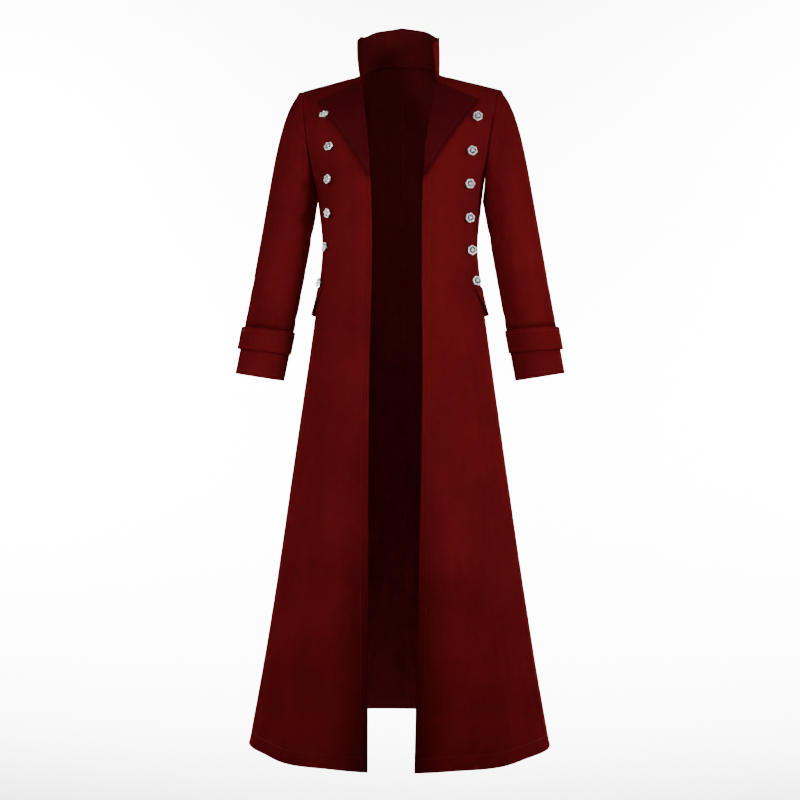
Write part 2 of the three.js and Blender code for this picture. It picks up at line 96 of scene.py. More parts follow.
# Upright flutes of the skirt: place round the body from the middle front, width, and
# how far each stands out at the hem. They fade out at the hip.
FLUTES = rows_of(
    "angle width height",
    (22, 8, -4 * MM),
    (38, 9, 6 * MM),
    (58, 9, -5 * MM),
    (78, 10, 5 * MM),
    (101, 9, -5 * MM),
    (121, 10, 7 * MM),
    (142, 9, -6 * MM),
    (163, 9, 6 * MM),
)
FLUTE_TOP_Z = -0.520
FLUTE_FADE = 1.3

# Shoulder, neck and armhole.
NECK = {"x": 0.083, "y": 0.005, "z": 0.0}
SHOULDER = {"x": 0.206, "y": 0.005, "z": -0.031}
BACK_NECK = {"y": 0.066, "z": 0.036}
NECK_POWER = 2.2
SHOULDER_POWER = 2.2
ARMHOLE_DEEPEST = 0.76
ARMHOLE_TURN = 0.5

# Sleeve.
BICEPS = {"x": 0.2305, "y": 0.0, "z": -0.287, "half": 0.0525, "depth": 0.070}
CUFF = {"x": 0.292, "y": -0.030, "z": -0.633, "half": 0.052, "depth": 0.047}
SLEEVE_TILT = math.radians(9)
CAP_TANGENT_TOP = np.array((0.82, 0, -0.57))
CAP_TANGENT_LOW = np.array((0.2, 0, -0.98))
CAP_SWELL = 0.25
CAP_HANDLES = {"start": 0.19, "end": 0.4}
SLEEVE_SEAM_GAP = 0.3 * MM
STRAP = {"top": 0.715, "bottom": 0.845, "inner": 0.8 * MM, "outer": 3.6 * MM}

# Collar. Shares run round the neck, from 0 at the middle back to 1 at the ends. As in the
# photo, left and right rise over the common top line by different amounts, and the right
# end leans in, the left one out.
COLLAR_END_Z = -0.016
COLLAR_TOP = table("share z", (0, 0.117), (0.3, 0.106), (0.57, 0.076), (1, 0.060))
COLLAR_RISE = {
    "left": table("share z", (0, 0), (0.25, 0), (0.45, 0.007), (0.6, 0.014), (0.68, 0.0155),
                  (0.76, 0.013), (0.86, 0.0095), (1, 0.006)),
    "right": table("share z", (0, 0), (0.3, 0), (0.5, 0.0062), (0.62, 0.0105), (0.7, 0.0112),
                   (0.78, 0.008), (0.87, 0.0035), (1, 0)),
}
COLLAR_LEAN_IN = {"left": -6 * MM, "right": 9 * MM}
COLLAR = {"seat": -1.6 * MM, "seam_dip": 2.4 * MM, "dip_width": 0.04, "corner": 3 * MM,
          "corner_from": 0.93, "belly": 1.5 * MM, "flare": 1.2 * MM, "sway": 0.7 * MM}

# Lapel and pocket flap.
LAPEL = {"root_z": -0.027, "tip_x": 0.163, "tip_z": -0.066, "hollow": 7 * MM,
         "hollow_x": 0.8, "hollow_z": 0.6, "roll": 3 * MM, "roll_full": 0.25, "settle": 0.22,
         "tip_lift": 3.2 * MM, "root_lift": 0.6, "belly": 0.8 * MM, "wall": 1.6 * MM}
FLAP = {"start": 62, "end": 124, "slant": 20, "top_z": -0.446, "bottom_z": -0.504,
        "flare": 6 * MM, "ripple": 1 * MM, "wall": 2.2 * MM}

# Buttons from the top down: how much of the way from square on the cloth to straight
# ahead each one turns, below 0 away from it, and its nod in degrees.
BUTTONS = {
    "right": rows_of(
        "z x ahead nod",
        (-0.103, 0.163, 0.6, 4),
        (-0.175, 0.152, 0.55, -5),
        (-0.239, 0.146, 0.6, 6),
        (-0.308, 0.145, 0.55, -3),
        (-0.373, 0.148, 0.5, 5),
        (-0.437, 0.158, 0.55, -6),
    ),
    "left": rows_of(
        "z x ahead nod",
        (-0.101, 0.149, -0.45, -26),
        (-0.167, 0.137, -0.7, -30),
        (-0.230, 0.138, -0.6, -27),
        (-0.297, 0.139, -0.5, -16),
        (-0.366, 0.147, -0.1, -24),
        (-0.439, 0.160, 0.0, -18),
    ),
}
BUTTON_SEAT = {"gap": 0.3 * MM, "shank": 2.6 * MM}


def lerp(a, b, t):
    return a + (b - a) * t


def along(columns, name, place, key="z"):
    """A smooth value of one column of a table, at places in its key column."""
    keys, values = columns[key], columns[name]
    last = len(keys) - 1
    place = np.asarray(place, float)
    i = np.clip(np.searchsorted(keys, place) - 1, 0, last - 1)

    def slope(a, b):
        return (values[b] - values[a]) / (keys[b] - keys[a])

    before = slope(np.maximum(i - 1, 0), np.minimum(i + 1, last))
    after = slope(i, np.minimum(i + 2, last))
    span = keys[i + 1] - keys[i]
    t = np.clip((place - keys[i]) / span, 0, 1)
    rise = t * t * (3 - 2 * t)
    ease = t * (1 - t) * span
    return lerp(values[i], values[i + 1], rise) + before * ease * (1 - t) - after * ease * t


def unit(vectors):
    length = np.linalg.norm(vectors, axis=-1, keepdims=True)
    return vectors / np.maximum(length, 1e-12)


def hump(away, width):
    """A smooth hump: 1 at no distance, fading out over about two widths."""
    return np.exp(-((away / width) ** 2))


def fluting(angle, z):
    """How far the flutes push the cloth out, at places of the body."""
    fade = np.clip((FLUTE_TOP_Z - z) / (FLUTE_TOP_Z - HEM_Z), 0, 1) ** FLUTE_FADE
    return fade * sum(flute["height"] * hump(angle - flute["angle"], flute["width"])
                      for flute in FLUTES)


def armhole_share(up):
    return ARMHOLE_DEEPEST * np.sin(np.pi / 2 * np.minimum(1, up / ARMHOLE_TURN))


def top_line(x, is_back):
    """Depth and height of the line the cloth rises to: shoulder seam and back neck."""
    t = np.clip((x - NECK["x"]) / (SHOULDER["x"] - NECK["x"]), 0, None)
    y, z = lerp(NECK["y"], SHOULDER["y"], t), lerp(NECK["z"], SHOULDER["z"], t)
    if is_back:
        inside = np.clip(x / NECK["x"], 0, 1)
        share = (1 - inside ** NECK_POWER) ** (1 / NECK_POWER)
        y = np.where(x < NECK["x"], lerp(NECK["y"], BACK_NECK["y"], share), y)
        z = np.where(x < NECK["x"], lerp(NECK["z"], BACK_NECK["z"], share), z)
    return y, z


def level_sizes(level):
    """Sizes of the body at a level: 0 is the hem, 1 the armpit, 2 the shoulder line."""
    level = np.asarray(level, float)
    z = lerp(HEM_Z, ARMPIT_Z, np.minimum(level, 1))
    rise = np.pi / 2 * np.clip(level - 1, 0, 1)
    up = np.sin(rise) ** (2 / SHOULDER_POWER)
    hold = np.maximum(np.cos(rise), 0) ** (2 / SHOULDER_POWER)
    power = along(RINGS, "power", z)
    share = armhole_share(up)
    arm_x = lerp(RINGS["half"][-1], SHOULDER["x"], up)
    above = arm_x / (1 - share ** power) ** (1 / power)
    half = np.where(level <= 1, along(RINGS, "half", z), above)
    arm_angle = np.degrees(np.arccos(share ** (power / 2)))
    return {"z": z, "up": up, "hold": hold, "power": power, "half": half, "arm": arm_angle}


def body_point(angle, level, is_back):
    """Points of the body's outer face: 0 degrees is the middle front, 180 the back."""
    size = level_sizes(level)
    turn = np.radians(180 - angle if is_back else angle)
    ring = along(RINGS, "back", size["z"]) if is_back else -along(RINGS, "front", size["z"])
    swell = 1 + fluting(angle, size["z"]) / size["half"]
    exponent = 2 / size["power"]
    x = size["half"] * swell * np.abs(np.sin(turn)) ** exponent
    y = ring * swell * np.abs(np.cos(turn)) ** exponent
    top_y, top_z = top_line(x, is_back)
    return np.stack([x, lerp(top_y, y, size["hold"]), lerp(size["z"], top_z, size["up"])], -1)


def body_normal(angle, level, is_back):
    """Outward directions of the same face."""
    step = 0.02
    low, high = (90, 179.5) if is_back else (0.5, 90)
    a = np.clip(angle, low, high)
    a0, a1 = np.maximum(a - step, low), np.minimum(a + step, high)
    l0, l1 = np.maximum(level - step / 10, 0), np.minimum(level + step / 10, 2)
    across = body_point(a1, level, is_back) - body_point(a0, level, is_back)
    upward = body_point(a, l1, is_back) - body_point(a, l0, is_back)
    return unit(np.cross(across, upward))


def edge_angle(level):
    """Angle of the free front edge."""
    size = level_sizes(level)
    x = along(FRONT_EDGE, "x", lerp(size["z"], NECK["z"], size["up"]))
    return np.degrees(np.arcsin(np.minimum(1, x / size["half"]) ** (size["power"] / 2)))


def front_place(x, z):
    """Angle and level on the front face, from distance to the middle and height."""
    x, z = np.asarray(x, float), np.asarray(z, float)
    below = (z - HEM_Z) / (ARMPIT_Z - HEM_Z)
    up = np.clip((z - ARMPIT_Z) / (top_line(x, False)[1] - ARMPIT_Z), 0, 1)
    above = 1 + np.arcsin(up ** (SHOULDER_POWER / 2)) / (np.pi / 2)
    level = np.where(z <= ARMPIT_Z, below, above)
    size = level_sizes(level)
    angle = np.degrees(np.arcsin(np.minimum(1, x / size["half"]) ** (size["power"] / 2)))
    return angle, level


# Spacing and relief

def eased(count, start=0.0, end=0.0):
    """Places from 0 to 1, closer together at the ends that are named above 0."""
    t = np.linspace(0, 1, count)
    if start and end:
        return lerp(t, t - np.sin(2 * np.pi * t) / (2 * np.pi), min(start, end))
    if start:
        return lerp(t, 1 - np.cos(np.pi / 2 * t), start)
    return lerp(t, np.sin(np.pi / 2 * t), end)


def grid_normals(grid, is_loop=False):
    """Directions square to a grid, across its columns and then along its rows."""
    if is_loop:
        across = np.roll(grid, -1, 1) - np.roll(grid, 1, 1)
    else:
        across = np.gradient(grid, axis=1)
    return unit(np.cross(across, np.gradient(grid, axis=0)))


def run_along(grid, axis):
    """Length from the first point of each row (axis 1) or column (axis 0)."""
    steps = np.linalg.norm(np.diff(grid, axis=axis), axis=-1)
    start = np.zeros_like(np.take(steps, [0], axis=axis))
    return np.concatenate([start, np.cumsum(steps, axis=axis)], axis=axis)


def edge_distance(grid, side):
    """Distance of each point from one side of the grid: start, end, low or high."""
    axis = 1 if side in ("start", "end") else 0
    run = run_along(grid, axis)
    if side in ("start", "low"):
        return run
    return np.take(run, [-1], axis=axis) - run


def waves(place, seed, count=5, shortest=0.03, longest=0.16):
    """A smooth uneven line between -1 and 1, the same each time for one seed."""
    draw = np.random.default_rng(seed)
    total = 0
    for _ in range(count):
        length = lerp(shortest, longest, draw.random())
        total = total + np.sin(2 * np.pi * (place / length + draw.random()))
    return total / count


SEAM = {"depth": 1.1 * MM, "width": 2.2 * MM, "pucker": 0.45 * MM, "reach": 11 * MM}


def seamed(grid, normals, sides, seed):
    """Sinks the cloth into its seams on these sides, with a faint pucker beside them."""
    for number, side in enumerate(sides):
        away = edge_distance(grid, side)
        place = run_along(grid, 0 if side in ("start", "end") else 1)
        groove = SEAM["depth"] * hump(away, SEAM["width"])
        ripple = SEAM["pucker"] * waves(place, seed + number, shortest=0.012, longest=0.05)
        beside = hump(away, SEAM["reach"]) * (1 - np.exp(-away / SEAM["width"]))
        grid = grid - normals * (groove - ripple * beside)[..., None]
    return grid


EDGE = {"ridge": 0.9 * MM, "width": 4 * MM, "sink": 0.7 * MM, "line": 2.2 * MM,
        "pucker": 0.3 * MM, "reach": 8 * MM}


def turned_edge(grid, normals, side, stitched):
    """Fills a turned edge out a little and sinks the cloth along its line of stitches."""
    away = edge_distance(grid, side)
    place = run_along(grid, 0 if side in ("start", "end") else 1)
    fold = EDGE["ridge"] * hump(away, EDGE["width"])
    line = EDGE["sink"] * hump(away - stitched, EDGE["line"])
    pucker = EDGE["pucker"] * waves(place, 7, shortest=0.01, longest=0.03)
    pucker = pucker * hump(away - stitched, EDGE["reach"])
    return grid + normals * (fold - line + pucker)[..., None]


def pressed(grid, normals, creases):
    """Presses soft troughs and ridges into a grid, each along a line between two points."""
    for crease in creases:
        start, end = crease["ends"]
        line = end - start
        t = np.clip(((grid - start) @ line) / (line @ line), 0, 1)
        away = np.linalg.norm(grid - (start + t[..., None] * line), axis=-1)
        taper = 0.25 + 0.75 * np.sin(np.pi * t)
        lift = crease["depth"] * taper * hump(away, crease["width"])
        grid = grid + normals * lift[..., None]
    return grid


# Meshes

def new_piece(name, points, faces, material_numbers, materials, uvs=None):
    """An object of these faces, smooth, riding on the coat."""
    mesh = bpy.data.meshes.new(name)
    mesh.from_pydata([tuple(p) for p in points], [], faces)
    mesh.polygons.foreach_set("use_smooth", [True] * len(mesh.polygons))
    for material in materials:
        mesh.materials.append(material)
    mesh.polygons.foreach_set("material_index", material_numbers)
    if uvs is not None:
        layer = mesh.uv_layers.new(name="weave")
        corners = np.zeros(len(mesh.loops), int)
        mesh.loops.foreach_get("vertex_index", corners)
        layer.data.foreach_set("uv", np.asarray(uvs, np.float32)[corners].ravel())
    mesh.update()
    piece = bpy.data.objects.new(name, mesh)
    bpy.context.scene.collection.objects.link(piece)
    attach(piece, "root")
    return piece


def mirrored(points):
    return points * np.array((-1.0, 1.0, 1.0))


def mark(piece, name, values):
    """Stores one value for each point, for the material to read."""
    layer = piece.data.attributes.new(name, "FLOAT", "POINT")
    layer.data.foreach_set("value", values.astype(np.float32))


RIM_ROUNDING = 0.42


def shell(node, outer, thickness, facing, materials, is_loop=False, side=1):
    """The cloth of a node: a thin closed shell behind an outer grid, with rounded rims.
    facing is 1 where columns crossed with rows look out, and -1 where they look in."""
    if side < 0:
        outer = mirrored(outer)
        facing = -facing
    inner = outer - grid_normals(outer, is_loop) * facing * thickness
    rows, columns = outer.shape[:2]
    middle = (outer + inner) / 2
    swell = thickness * RIM_ROUNDING

    def rim(line, next_line):
        return line + unit(line - next_line) * swell

    parts = [outer.reshape(-1, 3), inner.reshape(-1, 3),
             rim(middle[0], middle[1]), rim(middle[-1], middle[-2])]
    weave = np.stack([run_along(outer, 1), run_along(outer, 0)], -1)
    weaves = [weave.reshape(-1, 2)] * 2 + [weave[0], weave[-1]]
    if not is_loop:
        parts += [rim(middle[:, 0], middle[:, 1]), rim(middle[:, -1], middle[:, -2])]
        weaves += [weave[:, 0], weave[:, -1]]
    count = rows * columns
    face = np.arange(count).reshape(rows, columns)
    back = face + count
    low_rim = 2 * count + np.arange(columns)
    high_rim = low_rim + columns
    first_rim = 2 * (count + columns) + np.arange(rows)
    last_rim = first_rim + rows
    faces, numbers = [], []

    def add(rings, number=0):
        faces.extend(np.asarray(rings)[:, ::facing].tolist())
        numbers.extend([number] * len(rings))

    def band(one, other, number=0):
        if is_loop:
            ring = [one, np.roll(one, -1, -1), np.roll(other, -1, -1), other]
        else:
            ring = [one[..., :-1], one[..., 1:], other[..., 1:], other[..., :-1]]
        add(np.stack(ring, -1).reshape(-1, 4), number)

    band(face[:-1], face[1:])
    band(back[1:], back[:-1], 1)
    band(low_rim, face[0])
    band(back[0], low_rim)
    band(face[-1], high_rim)
    band(high_rim, back[-1])
    if not is_loop:
        band(face[:, 0], first_rim)
        band(first_rim, back[:, 0])
        band(last_rim, face[:, -1])
        band(back[:, -1], last_rim)
        for row, column in ((0, 0), (0, -1), (-1, 0), (-1, -1)):
            beside = (high_rim if row else low_rim)[column]
            end = (last_rim if column else first_rim)[row]
            turn = 1 if row == column else -1
            corners = [[beside, face[row, column], end], [back[row, column], beside, end]]
            add([corner[::turn] for corner in corners])
    piece = new_piece(f"cloth_{node}", np.concatenate(parts), faces, numbers, materials,
                      np.concatenate(weaves))
    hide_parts(node)
    return piece


# Stitches. Their shape is in shares of their length and radius.
STITCH = {"pitch": 4.4 * MM, "length": 3.1 * MM, "radius": 0.30 * MM, "spokes": 5,
          "shoulder": 0.22, "sunk": 0.6, "raised": 0.35, "height": 0.8}


def inset_line(grid, normals, side, distance, skip=(0.0, 0.0)):
    """Points and outward directions of a line that runs beside one side of a grid."""
    if side in ("low", "high"):
        grid, normals = grid.transpose(1, 0, 2), normals.transpose(1, 0, 2)
    away = edge_distance(grid, "start" if side in ("start", "low") else "end")
    points, outs = [], []
    for row, out, run in zip(grid, normals, away):
        order = np.argsort(run)
        for found, values in ((points, row), (outs, out)):
            found.append([np.interp(distance, run[order], values[order, k]) for k in range(3)])
    points, outs = np.array(points), unit(np.array(outs))
    run = run_along(points[None], 1)[0]
    keep = (run >= skip[0]) & (run <= run[-1] - skip[1])
    return points[keep], outs[keep]


def closed(line):
    """The same line, run on to its first point."""
    return [np.concatenate([part, part[:1]]) for part in line]


def stitch_parts(points, outs):
    """Small raised stitches along a line, as points and faces."""
    run = run_along(points[None], 1)[0]
    count = max(int(run[-1] / STITCH["pitch"]), 1)
    centres = (np.arange(count) + 0.5) * run[-1] / count

    def at(values, places):
        places = np.clip(places, 0, run[-1])
        return np.stack([np.interp(places, run, values[:, k]) for k in range(3)], -1)[:, None]

    first = at(points, centres - STITCH["length"] / 2)
    last = at(points, centres + STITCH["length"] / 2)
    out = unit(at(outs, centres))
    beside = unit(np.cross(out, unit(last - first)))
    spokes = STITCH["spokes"]
    turns = 2 * np.pi * np.arange(spokes)[:, None] / spokes
    ring = np.cos(turns) * beside + STITCH["height"] * np.sin(turns) * out
    ring = STITCH["radius"] * (ring + STITCH["raised"] * out)
    sunk = STITCH["radius"] * STITCH["sunk"] * out
    stitches = np.concatenate([first - sunk, lerp(first, last, STITCH["shoulder"]) + ring,
                               lerp(last, first, STITCH["shoulder"]) + ring, last - sunk], 1)
    size = stitches.shape[1]
    faces = []
    for base in range(0, count * size, size):
        for spoke in range(spokes):
            p, q = base + 1 + spoke, base + 1 + (spoke + 1) % spokes
            faces += [[base, q, p], [p, q, q + spokes, p + spokes],
                      [base + size - 1, p + spokes, q + spokes]]
    return stitches.reshape(-1, 3), faces


def stitching(node, lines, material, side=1):
    """One piece of all the stitch lines on the cloth of a node."""
    points, faces = [], []
    total = 0
    for line in lines:
        line_points, outs = [mirrored(part) for part in line] if side < 0 else line
        more, rings = stitch_parts(line_points, outs)
        points.append(more)
        faces += [[v + total for v in ring] for ring in rings]
        total += len(more)
    piece = new_piece(f"stitching_{node}", np.concatenate(points), faces, [0] * len(faces),
                      [material])
    return piece


# Materials

def new_material(name):
    material = bpy.data.materials.new(name)
    material.use_nodes = True
    nodes = material.node_tree.nodes
    return material, nodes, material.node_tree.links, nodes["Principled BSDF"]


def toned(nodes, links, source, stops, colour=(1.0, 1.0, 1.0)):
    """A colour that follows a value: each of the two stops is a place and a share of it."""
    node = nodes.new("ShaderNodeValToRGB")
    for element, (place, share) in zip(node.color_ramp.elements, stops):
        element.position = place
        element.color = (*(channel * share for channel in colour), 1)
    links.new(source, node.inputs["Fac"])
    return node.outputs["Color"]


def noise(nodes, links, source, scale, detail=3.0, stretch=None):
    """A noise over the object's own places."""
    node = nodes.new("ShaderNodeTexNoise")
    node.inputs["Scale"].default_value = scale
    node.inputs["Detail"].default_value = detail
    if stretch:
        mapping = nodes.new("ShaderNodeMapping")
        mapping.inputs["Scale"].default_value = stretch
        links.new(source, mapping.inputs["Vector"])
        source = mapping.outputs["Vector"]
    links.new(source, node.inputs["Vector"])
    return node.outputs["Fac"]


def mixed(nodes, links, a, b, factor, blend="MIX"):
    node = nodes.new("ShaderNodeMix")
    node.data_type = "RGBA"
    node.blend_type = blend
    for socket, value in ((node.inputs["A"], a), (node.inputs["B"], b)):
        if isinstance(value, tuple):
            socket.default_value = (*value, 1)
        else:
            links.new(value, socket)
    if isinstance(factor, float):
        node.inputs["Factor"].default_value = factor
    else:
        links.new(factor, node.inputs["Factor"])
    return node.outputs["Result"]


def ranged(nodes, links, source, low, high):
    """A value from 0 to 1 spread out between two others."""
    node = nodes.new("ShaderNodeMapRange")
    node.inputs["To Min"].default_value = low
    node.inputs["To Max"].default_value = high
    links.new(source, node.inputs["Value"])
    return node.outputs["Result"]


def bumped(nodes, links, height, strength, distance, over=None):
    """Relief of a height, laid over another relief where there is one."""
    node = nodes.new("ShaderNodeBump")
    node.inputs["Strength"].default_value = strength
    node.inputs["Distance"].default_value = distance
    links.new(height, node.inputs["Height"])
    if over is not None:
        links.new(over, node.inputs["Normal"])
    return node.outputs["Normal"]


# Radians that a wave texture of scale 1 runs through in a metre.
WAVE_RUN = 20


def twill(nodes, links, vector, pitch, angle):
    """Diagonal ribs of the weave, 0 to 1."""
    mapping = nodes.new("ShaderNodeMapping")
    mapping.inputs["Rotation"].default_value = (0, 0, math.radians(angle))
    links.new(vector, mapping.inputs["Vector"])
    wave = nodes.new("ShaderNodeTexWave")
    wave.inputs["Scale"].default_value = 2 * math.pi / WAVE_RUN / pitch
    wave.inputs["Distortion"].default_value = 0.6
    wave.inputs["Detail"].default_value = 1.0
    wave.inputs["Detail Scale"].default_value = 2.0
    links.new(mapping.outputs["Vector"], wave.inputs["Vector"])
    return wave.outputs["Fac"]


# Scales of the noises, and the stops of the tones: a place and a share of the colour each.
NOISE = {"mottle": 9.0, "streaks": 3.0, "nap": 900.0, "dents": 70.0, "thread": 400.0,
         "wear": 600.0}
STREAK_STRETCH = (16.0, 16.0, 0.7)
TONES = {
    "mottle": ((0.25, 0.86), (0.75, 1.13)),
    "streaks": ((0.3, 0.90), (0.72, 1.0)),
    "ribs": ((0.0, 0.80), (1.0, 1.0)),
    "nap": ((0.3, 0.92), (0.7, 1.0)),
    # laid: painted shade where the mesh marks it.
    "laid": ((0.0, 1.0), (1.0, 0.30)),
    "thread": ((0.3, 0.8), (0.7, 1.15)),
    "tarnish": ((0.35, 0.78), (0.65, 1.0)),
}
TWILL = {"rib_angle": 58, "cross_angle": -20, "cross_pitch": 0.62, "cross_height": 0.5,
         "strength": 0.45}
DENTS = {"strength": 0.9, "depth": 0.4 * MM}
SHEEN_TINT = (1.0, 0.06, 0.06)
SILVER = {"bright": (0.97, 0.96, 0.98), "dark": (0.008, 0.007, 0.012), "metallic": 0.65,
          "smooth": 0.28, "rough": 0.55, "wear": 0.2, "wear_depth": 0.05 * MM}


def cloth_material(name, colour, roughness=0.78, sheen=0.015, rib=1.3 * MM, relief=0.16 * MM):
    """Twill cloth: fine diagonal ribs, a nap, soft mottling and faint upright streaks, darkened
    by painted shade where the mesh marks it.
    """
    material, nodes, links, shader = new_material(name)
    weave = nodes.new("ShaderNodeUVMap")
    weave.uv_map = "weave"
    place = nodes.new("ShaderNodeTexCoord").outputs["Object"]
    ribs = twill(nodes, links, weave.outputs["UV"], rib, TWILL["rib_angle"])
    cross = twill(nodes, links, weave.outputs["UV"], rib * TWILL["cross_pitch"],
                  TWILL["cross_angle"])
    mottle = noise(nodes, links, place, NOISE["mottle"])
    # Painted shade: the mesh's marks darken the colour.
    laid = nodes.new("ShaderNodeAttribute")
    laid.attribute_name = "painted_shade_mark"
    sources = {
        "streaks": noise(nodes, links, place, NOISE["streaks"], 4.0, STREAK_STRETCH),
        "ribs": ribs,
        "nap": noise(nodes, links, place, NOISE["nap"], 2.0),
        "laid": laid.outputs["Fac"],
    }
    base = toned(nodes, links, mottle, TONES["mottle"], colour)
    for tone, source in sources.items():
        shade = toned(nodes, links, source, TONES[tone])
        base = mixed(nodes, links, base, shade, 1.0, "MULTIPLY")
    links.new(base, shader.inputs["Base Color"])
    gloss = ranged(nodes, links, mottle, roughness - 0.06, roughness + 0.08)
    links.new(gloss, shader.inputs["Roughness"])
    height = nodes.new("ShaderNodeMath")
    height.operation = "MULTIPLY_ADD"
    height.inputs[1].default_value = TWILL["cross_height"]
    links.new(cross, height.inputs[0])
    links.new(ribs, height.inputs[2])
    fine = bumped(nodes, links, height.outputs["Value"], TWILL["strength"], relief)
    dents = noise(nodes, links, place, NOISE["dents"])
    soft = bumped(nodes, links, dents, DENTS["strength"], DENTS["depth"], over=fine)
    links.new(soft, shader.inputs["Normal"])
    shader.inputs["Sheen Weight"].default_value = sheen
    shader.inputs["Sheen Roughness"].default_value = 0.4
    shader.inputs["Sheen Tint"].default_value = (*SHEEN_TINT, 1)
    shader.inputs["Specular IOR Level"].default_value = 0.0
    return material


def thread_material(name, colour):
    """Sewing thread of a slightly uneven colour."""
    material, nodes, links, shader = new_material(name)
    place = nodes.new("ShaderNodeTexCoord").outputs["Object"]
    fibres = noise(nodes, links, place, NOISE["thread"])
    links.new(toned(nodes, links, fibres, TONES["thread"], colour), shader.inputs["Base Color"])
    shader.inputs["Roughness"].default_value = 0.6
    shader.inputs["Specular IOR Level"].default_value = 0.1
    return material


def silver_material(name):
    """Antiqued silver: bright on the raised parts, dark in the recesses."""
    material, nodes, links, shader = new_material(name)
    place = nodes.new("ShaderNodeTexCoord").outputs["Object"]
    depth = nodes.new("ShaderNodeAttribute")
    depth.attribute_name = "recess"
    wear = noise(nodes, links, place, NOISE["wear"])
    colour = mixed(nodes, links, SILVER["bright"], SILVER["dark"], depth.outputs["Fac"])
    tarnish = toned(nodes, links, wear, TONES["tarnish"])
    base = mixed(nodes, links, colour, tarnish, 1.0, "MULTIPLY")
    links.new(base, shader.inputs["Base Color"])
    gloss = ranged(nodes, links, depth.outputs["Fac"], SILVER["smooth"], SILVER["rough"])
    links.new(gloss, shader.inputs["Roughness"])
    relief = bumped(nodes, links, wear, SILVER["wear"], SILVER["wear_depth"])
    links.new(relief, shader.inputs["Normal"])
    shader.inputs["Metallic"].default_value = SILVER["metallic"]
    return material


RED = (0.064, 0.0036, 0.0046)
LAPEL_RED = (0.034, 0.0022, 0.0036)
# The inside of the cloth: the coat's red darkened, as painted shade inside the coat.
PAINTED_SHADE_INSIDE_RED = (0.042, 0.0034, 0.0044)
THREAD_RED = (0.062, 0.0036, 0.0046)

cloth = cloth_material("coat_twill", RED)
lapel_cloth = cloth_material("lapel_twill", LAPEL_RED, roughness=0.7)
# Painted shade: the inner faces of the cloth get the darker inside red.
painted_shade_inside = cloth_material("inside_cloth_painted_shade", PAINTED_SHADE_INSIDE_RED, sheen=0.0, rib=0.9 * MM, relief=0.08 * MM)
thread = thread_material("sewing_thread", THREAD_RED)
lapel_thread = thread_material("lapel_thread", LAPEL_RED)
silver = silver_material("antique_silver")


# Body panels

ROW_LEVELS = np.concatenate([eased(112, start=0.9), 1 + np.linspace(0, 1, 49)[1:]])
COLUMN_SHARES = eased(74, start=0.86, end=0.86)
# Distances of the stitches from an edge, and how far they stop short of its two ends.
FRONT_STITCH = 15 * MM
HEM_STITCH = 26 * MM
SEAM_STITCH = 5 * MM
EDGE_STITCH = 6 * MM
FOLD_LENGTH = 240 * MM
SHORT_OF_ENDS = (4 * MM, 6 * MM)


def height_level(z):
    """Level of a height, near enough to place a crease by."""
    below = (z - HEM_Z) / (ARMPIT_Z - HEM_Z)
    up = min(max((z - ARMPIT_Z) / (SHOULDER["z"] / 2 - ARMPIT_Z), 0), 1)
    return below if z <= ARMPIT_Z else 1 + math.asin(up ** (SHOULDER_POWER / 2)) / (math.pi / 2)


def body_crease(is_back, angle_a, z_a, angle_b, z_b, width, depth):
    ends = [body_point(np.float64(a), np.float64(height_level(z)), is_back)
            for a, z in ((angle_a, z_a), (angle_b, z_b))]
    return {"ends": ends, "width": width * MM, "depth": depth * MM}


# Creases of the body: front or back, two ends as angle and height, width and depth in
# millimetres. Depth below zero is a trough.
CREASES = {
    "front": (
        (58, -0.200, 44, -0.125, 9, -2.2),
        (66, -0.235, 46, -0.180, 8, -1.8),
        (50, -0.110, 40, -0.060, 10, -1.6),
        (75, -0.330, 40, -0.352, 12, -1.5),
        (80, -0.368, 48, -0.385, 11, 1.2),
        (70, -0.405, 30, -0.378, 12, -1.3),
        (30, -0.340, 16, -0.300, 14, 1.2),
        (64, -0.520, 58, -0.900, 22, -2.6),
        (40, -0.620, 36, -1.120, 24, 2.4),
        (25, -0.760, 22, -1.300, 18, -2.6),
        (82, -0.640, 86, -1.180, 22, 2.2),
        (13, -0.980, 13, -1.370, 9, 1.5),
        (17, -1.020, 17, -1.380, 8, -1.4),
        (48, -1.060, 50, -1.380, 16, -1.8),
        (70, -1.120, 72, -1.385, 15, -2.0),
    ),
    "back": (
        (124, -0.215, 136, -0.120, 10, -2.2),
        (118, -0.240, 132, -0.190, 8, -1.8),
        (150, -0.060, 168, -0.030, 14, 1.3),
        (100, -0.345, 150, -0.360, 12, -2.0),
        (104, -0.380, 160, -0.392, 12, 1.6),
        (98, -0.412, 140, -0.420, 12, -1.6),
        (168, -0.350, 150, -0.400, 14, -1.4),
        (170, -0.520, 166, -1.200, 20, -3.2),
        (152, -0.560, 148, -1.050, 24, 2.8),
        (132, -0.600, 128, -1.250, 24, -3.0),
        (112, -0.660, 110, -1.150, 24, 2.4),
        (141, -1.050, 139, -1.385, 16, -2.2),
        (118, -1.100, 117, -1.385, 15, -2.0),
        (174, -0.900, 174, -1.385, 12, 1.8),
    ),
}
CREASE_SEEDS = {"front": 11, "back": 23}
CREASE_SPREAD = {"shift": 3.0, "drop": 0.03, "depth": 0.35}


def side_creases(word, side):
    """The creases of one panel, shifted and deepened a little differently each side."""
    draw = np.random.default_rng(CREASE_SEEDS[word] + (0 if side > 0 else 7))
    creases = []
    for a0, z0, a1, z1, width, depth in CREASES[word]:
        shift = CREASE_SPREAD["shift"] * (draw.random() - 0.5)
        drop = CREASE_SPREAD["drop"] * (draw.random() - 0.5)
        deeper = 1 + CREASE_SPREAD["depth"] * (2 * draw.random() - 1)
        creases.append(body_crease(word == "back", a0 + shift, z0 + drop, a1 + shift,
                                   z1 + drop, width, depth * deeper))
    return creases


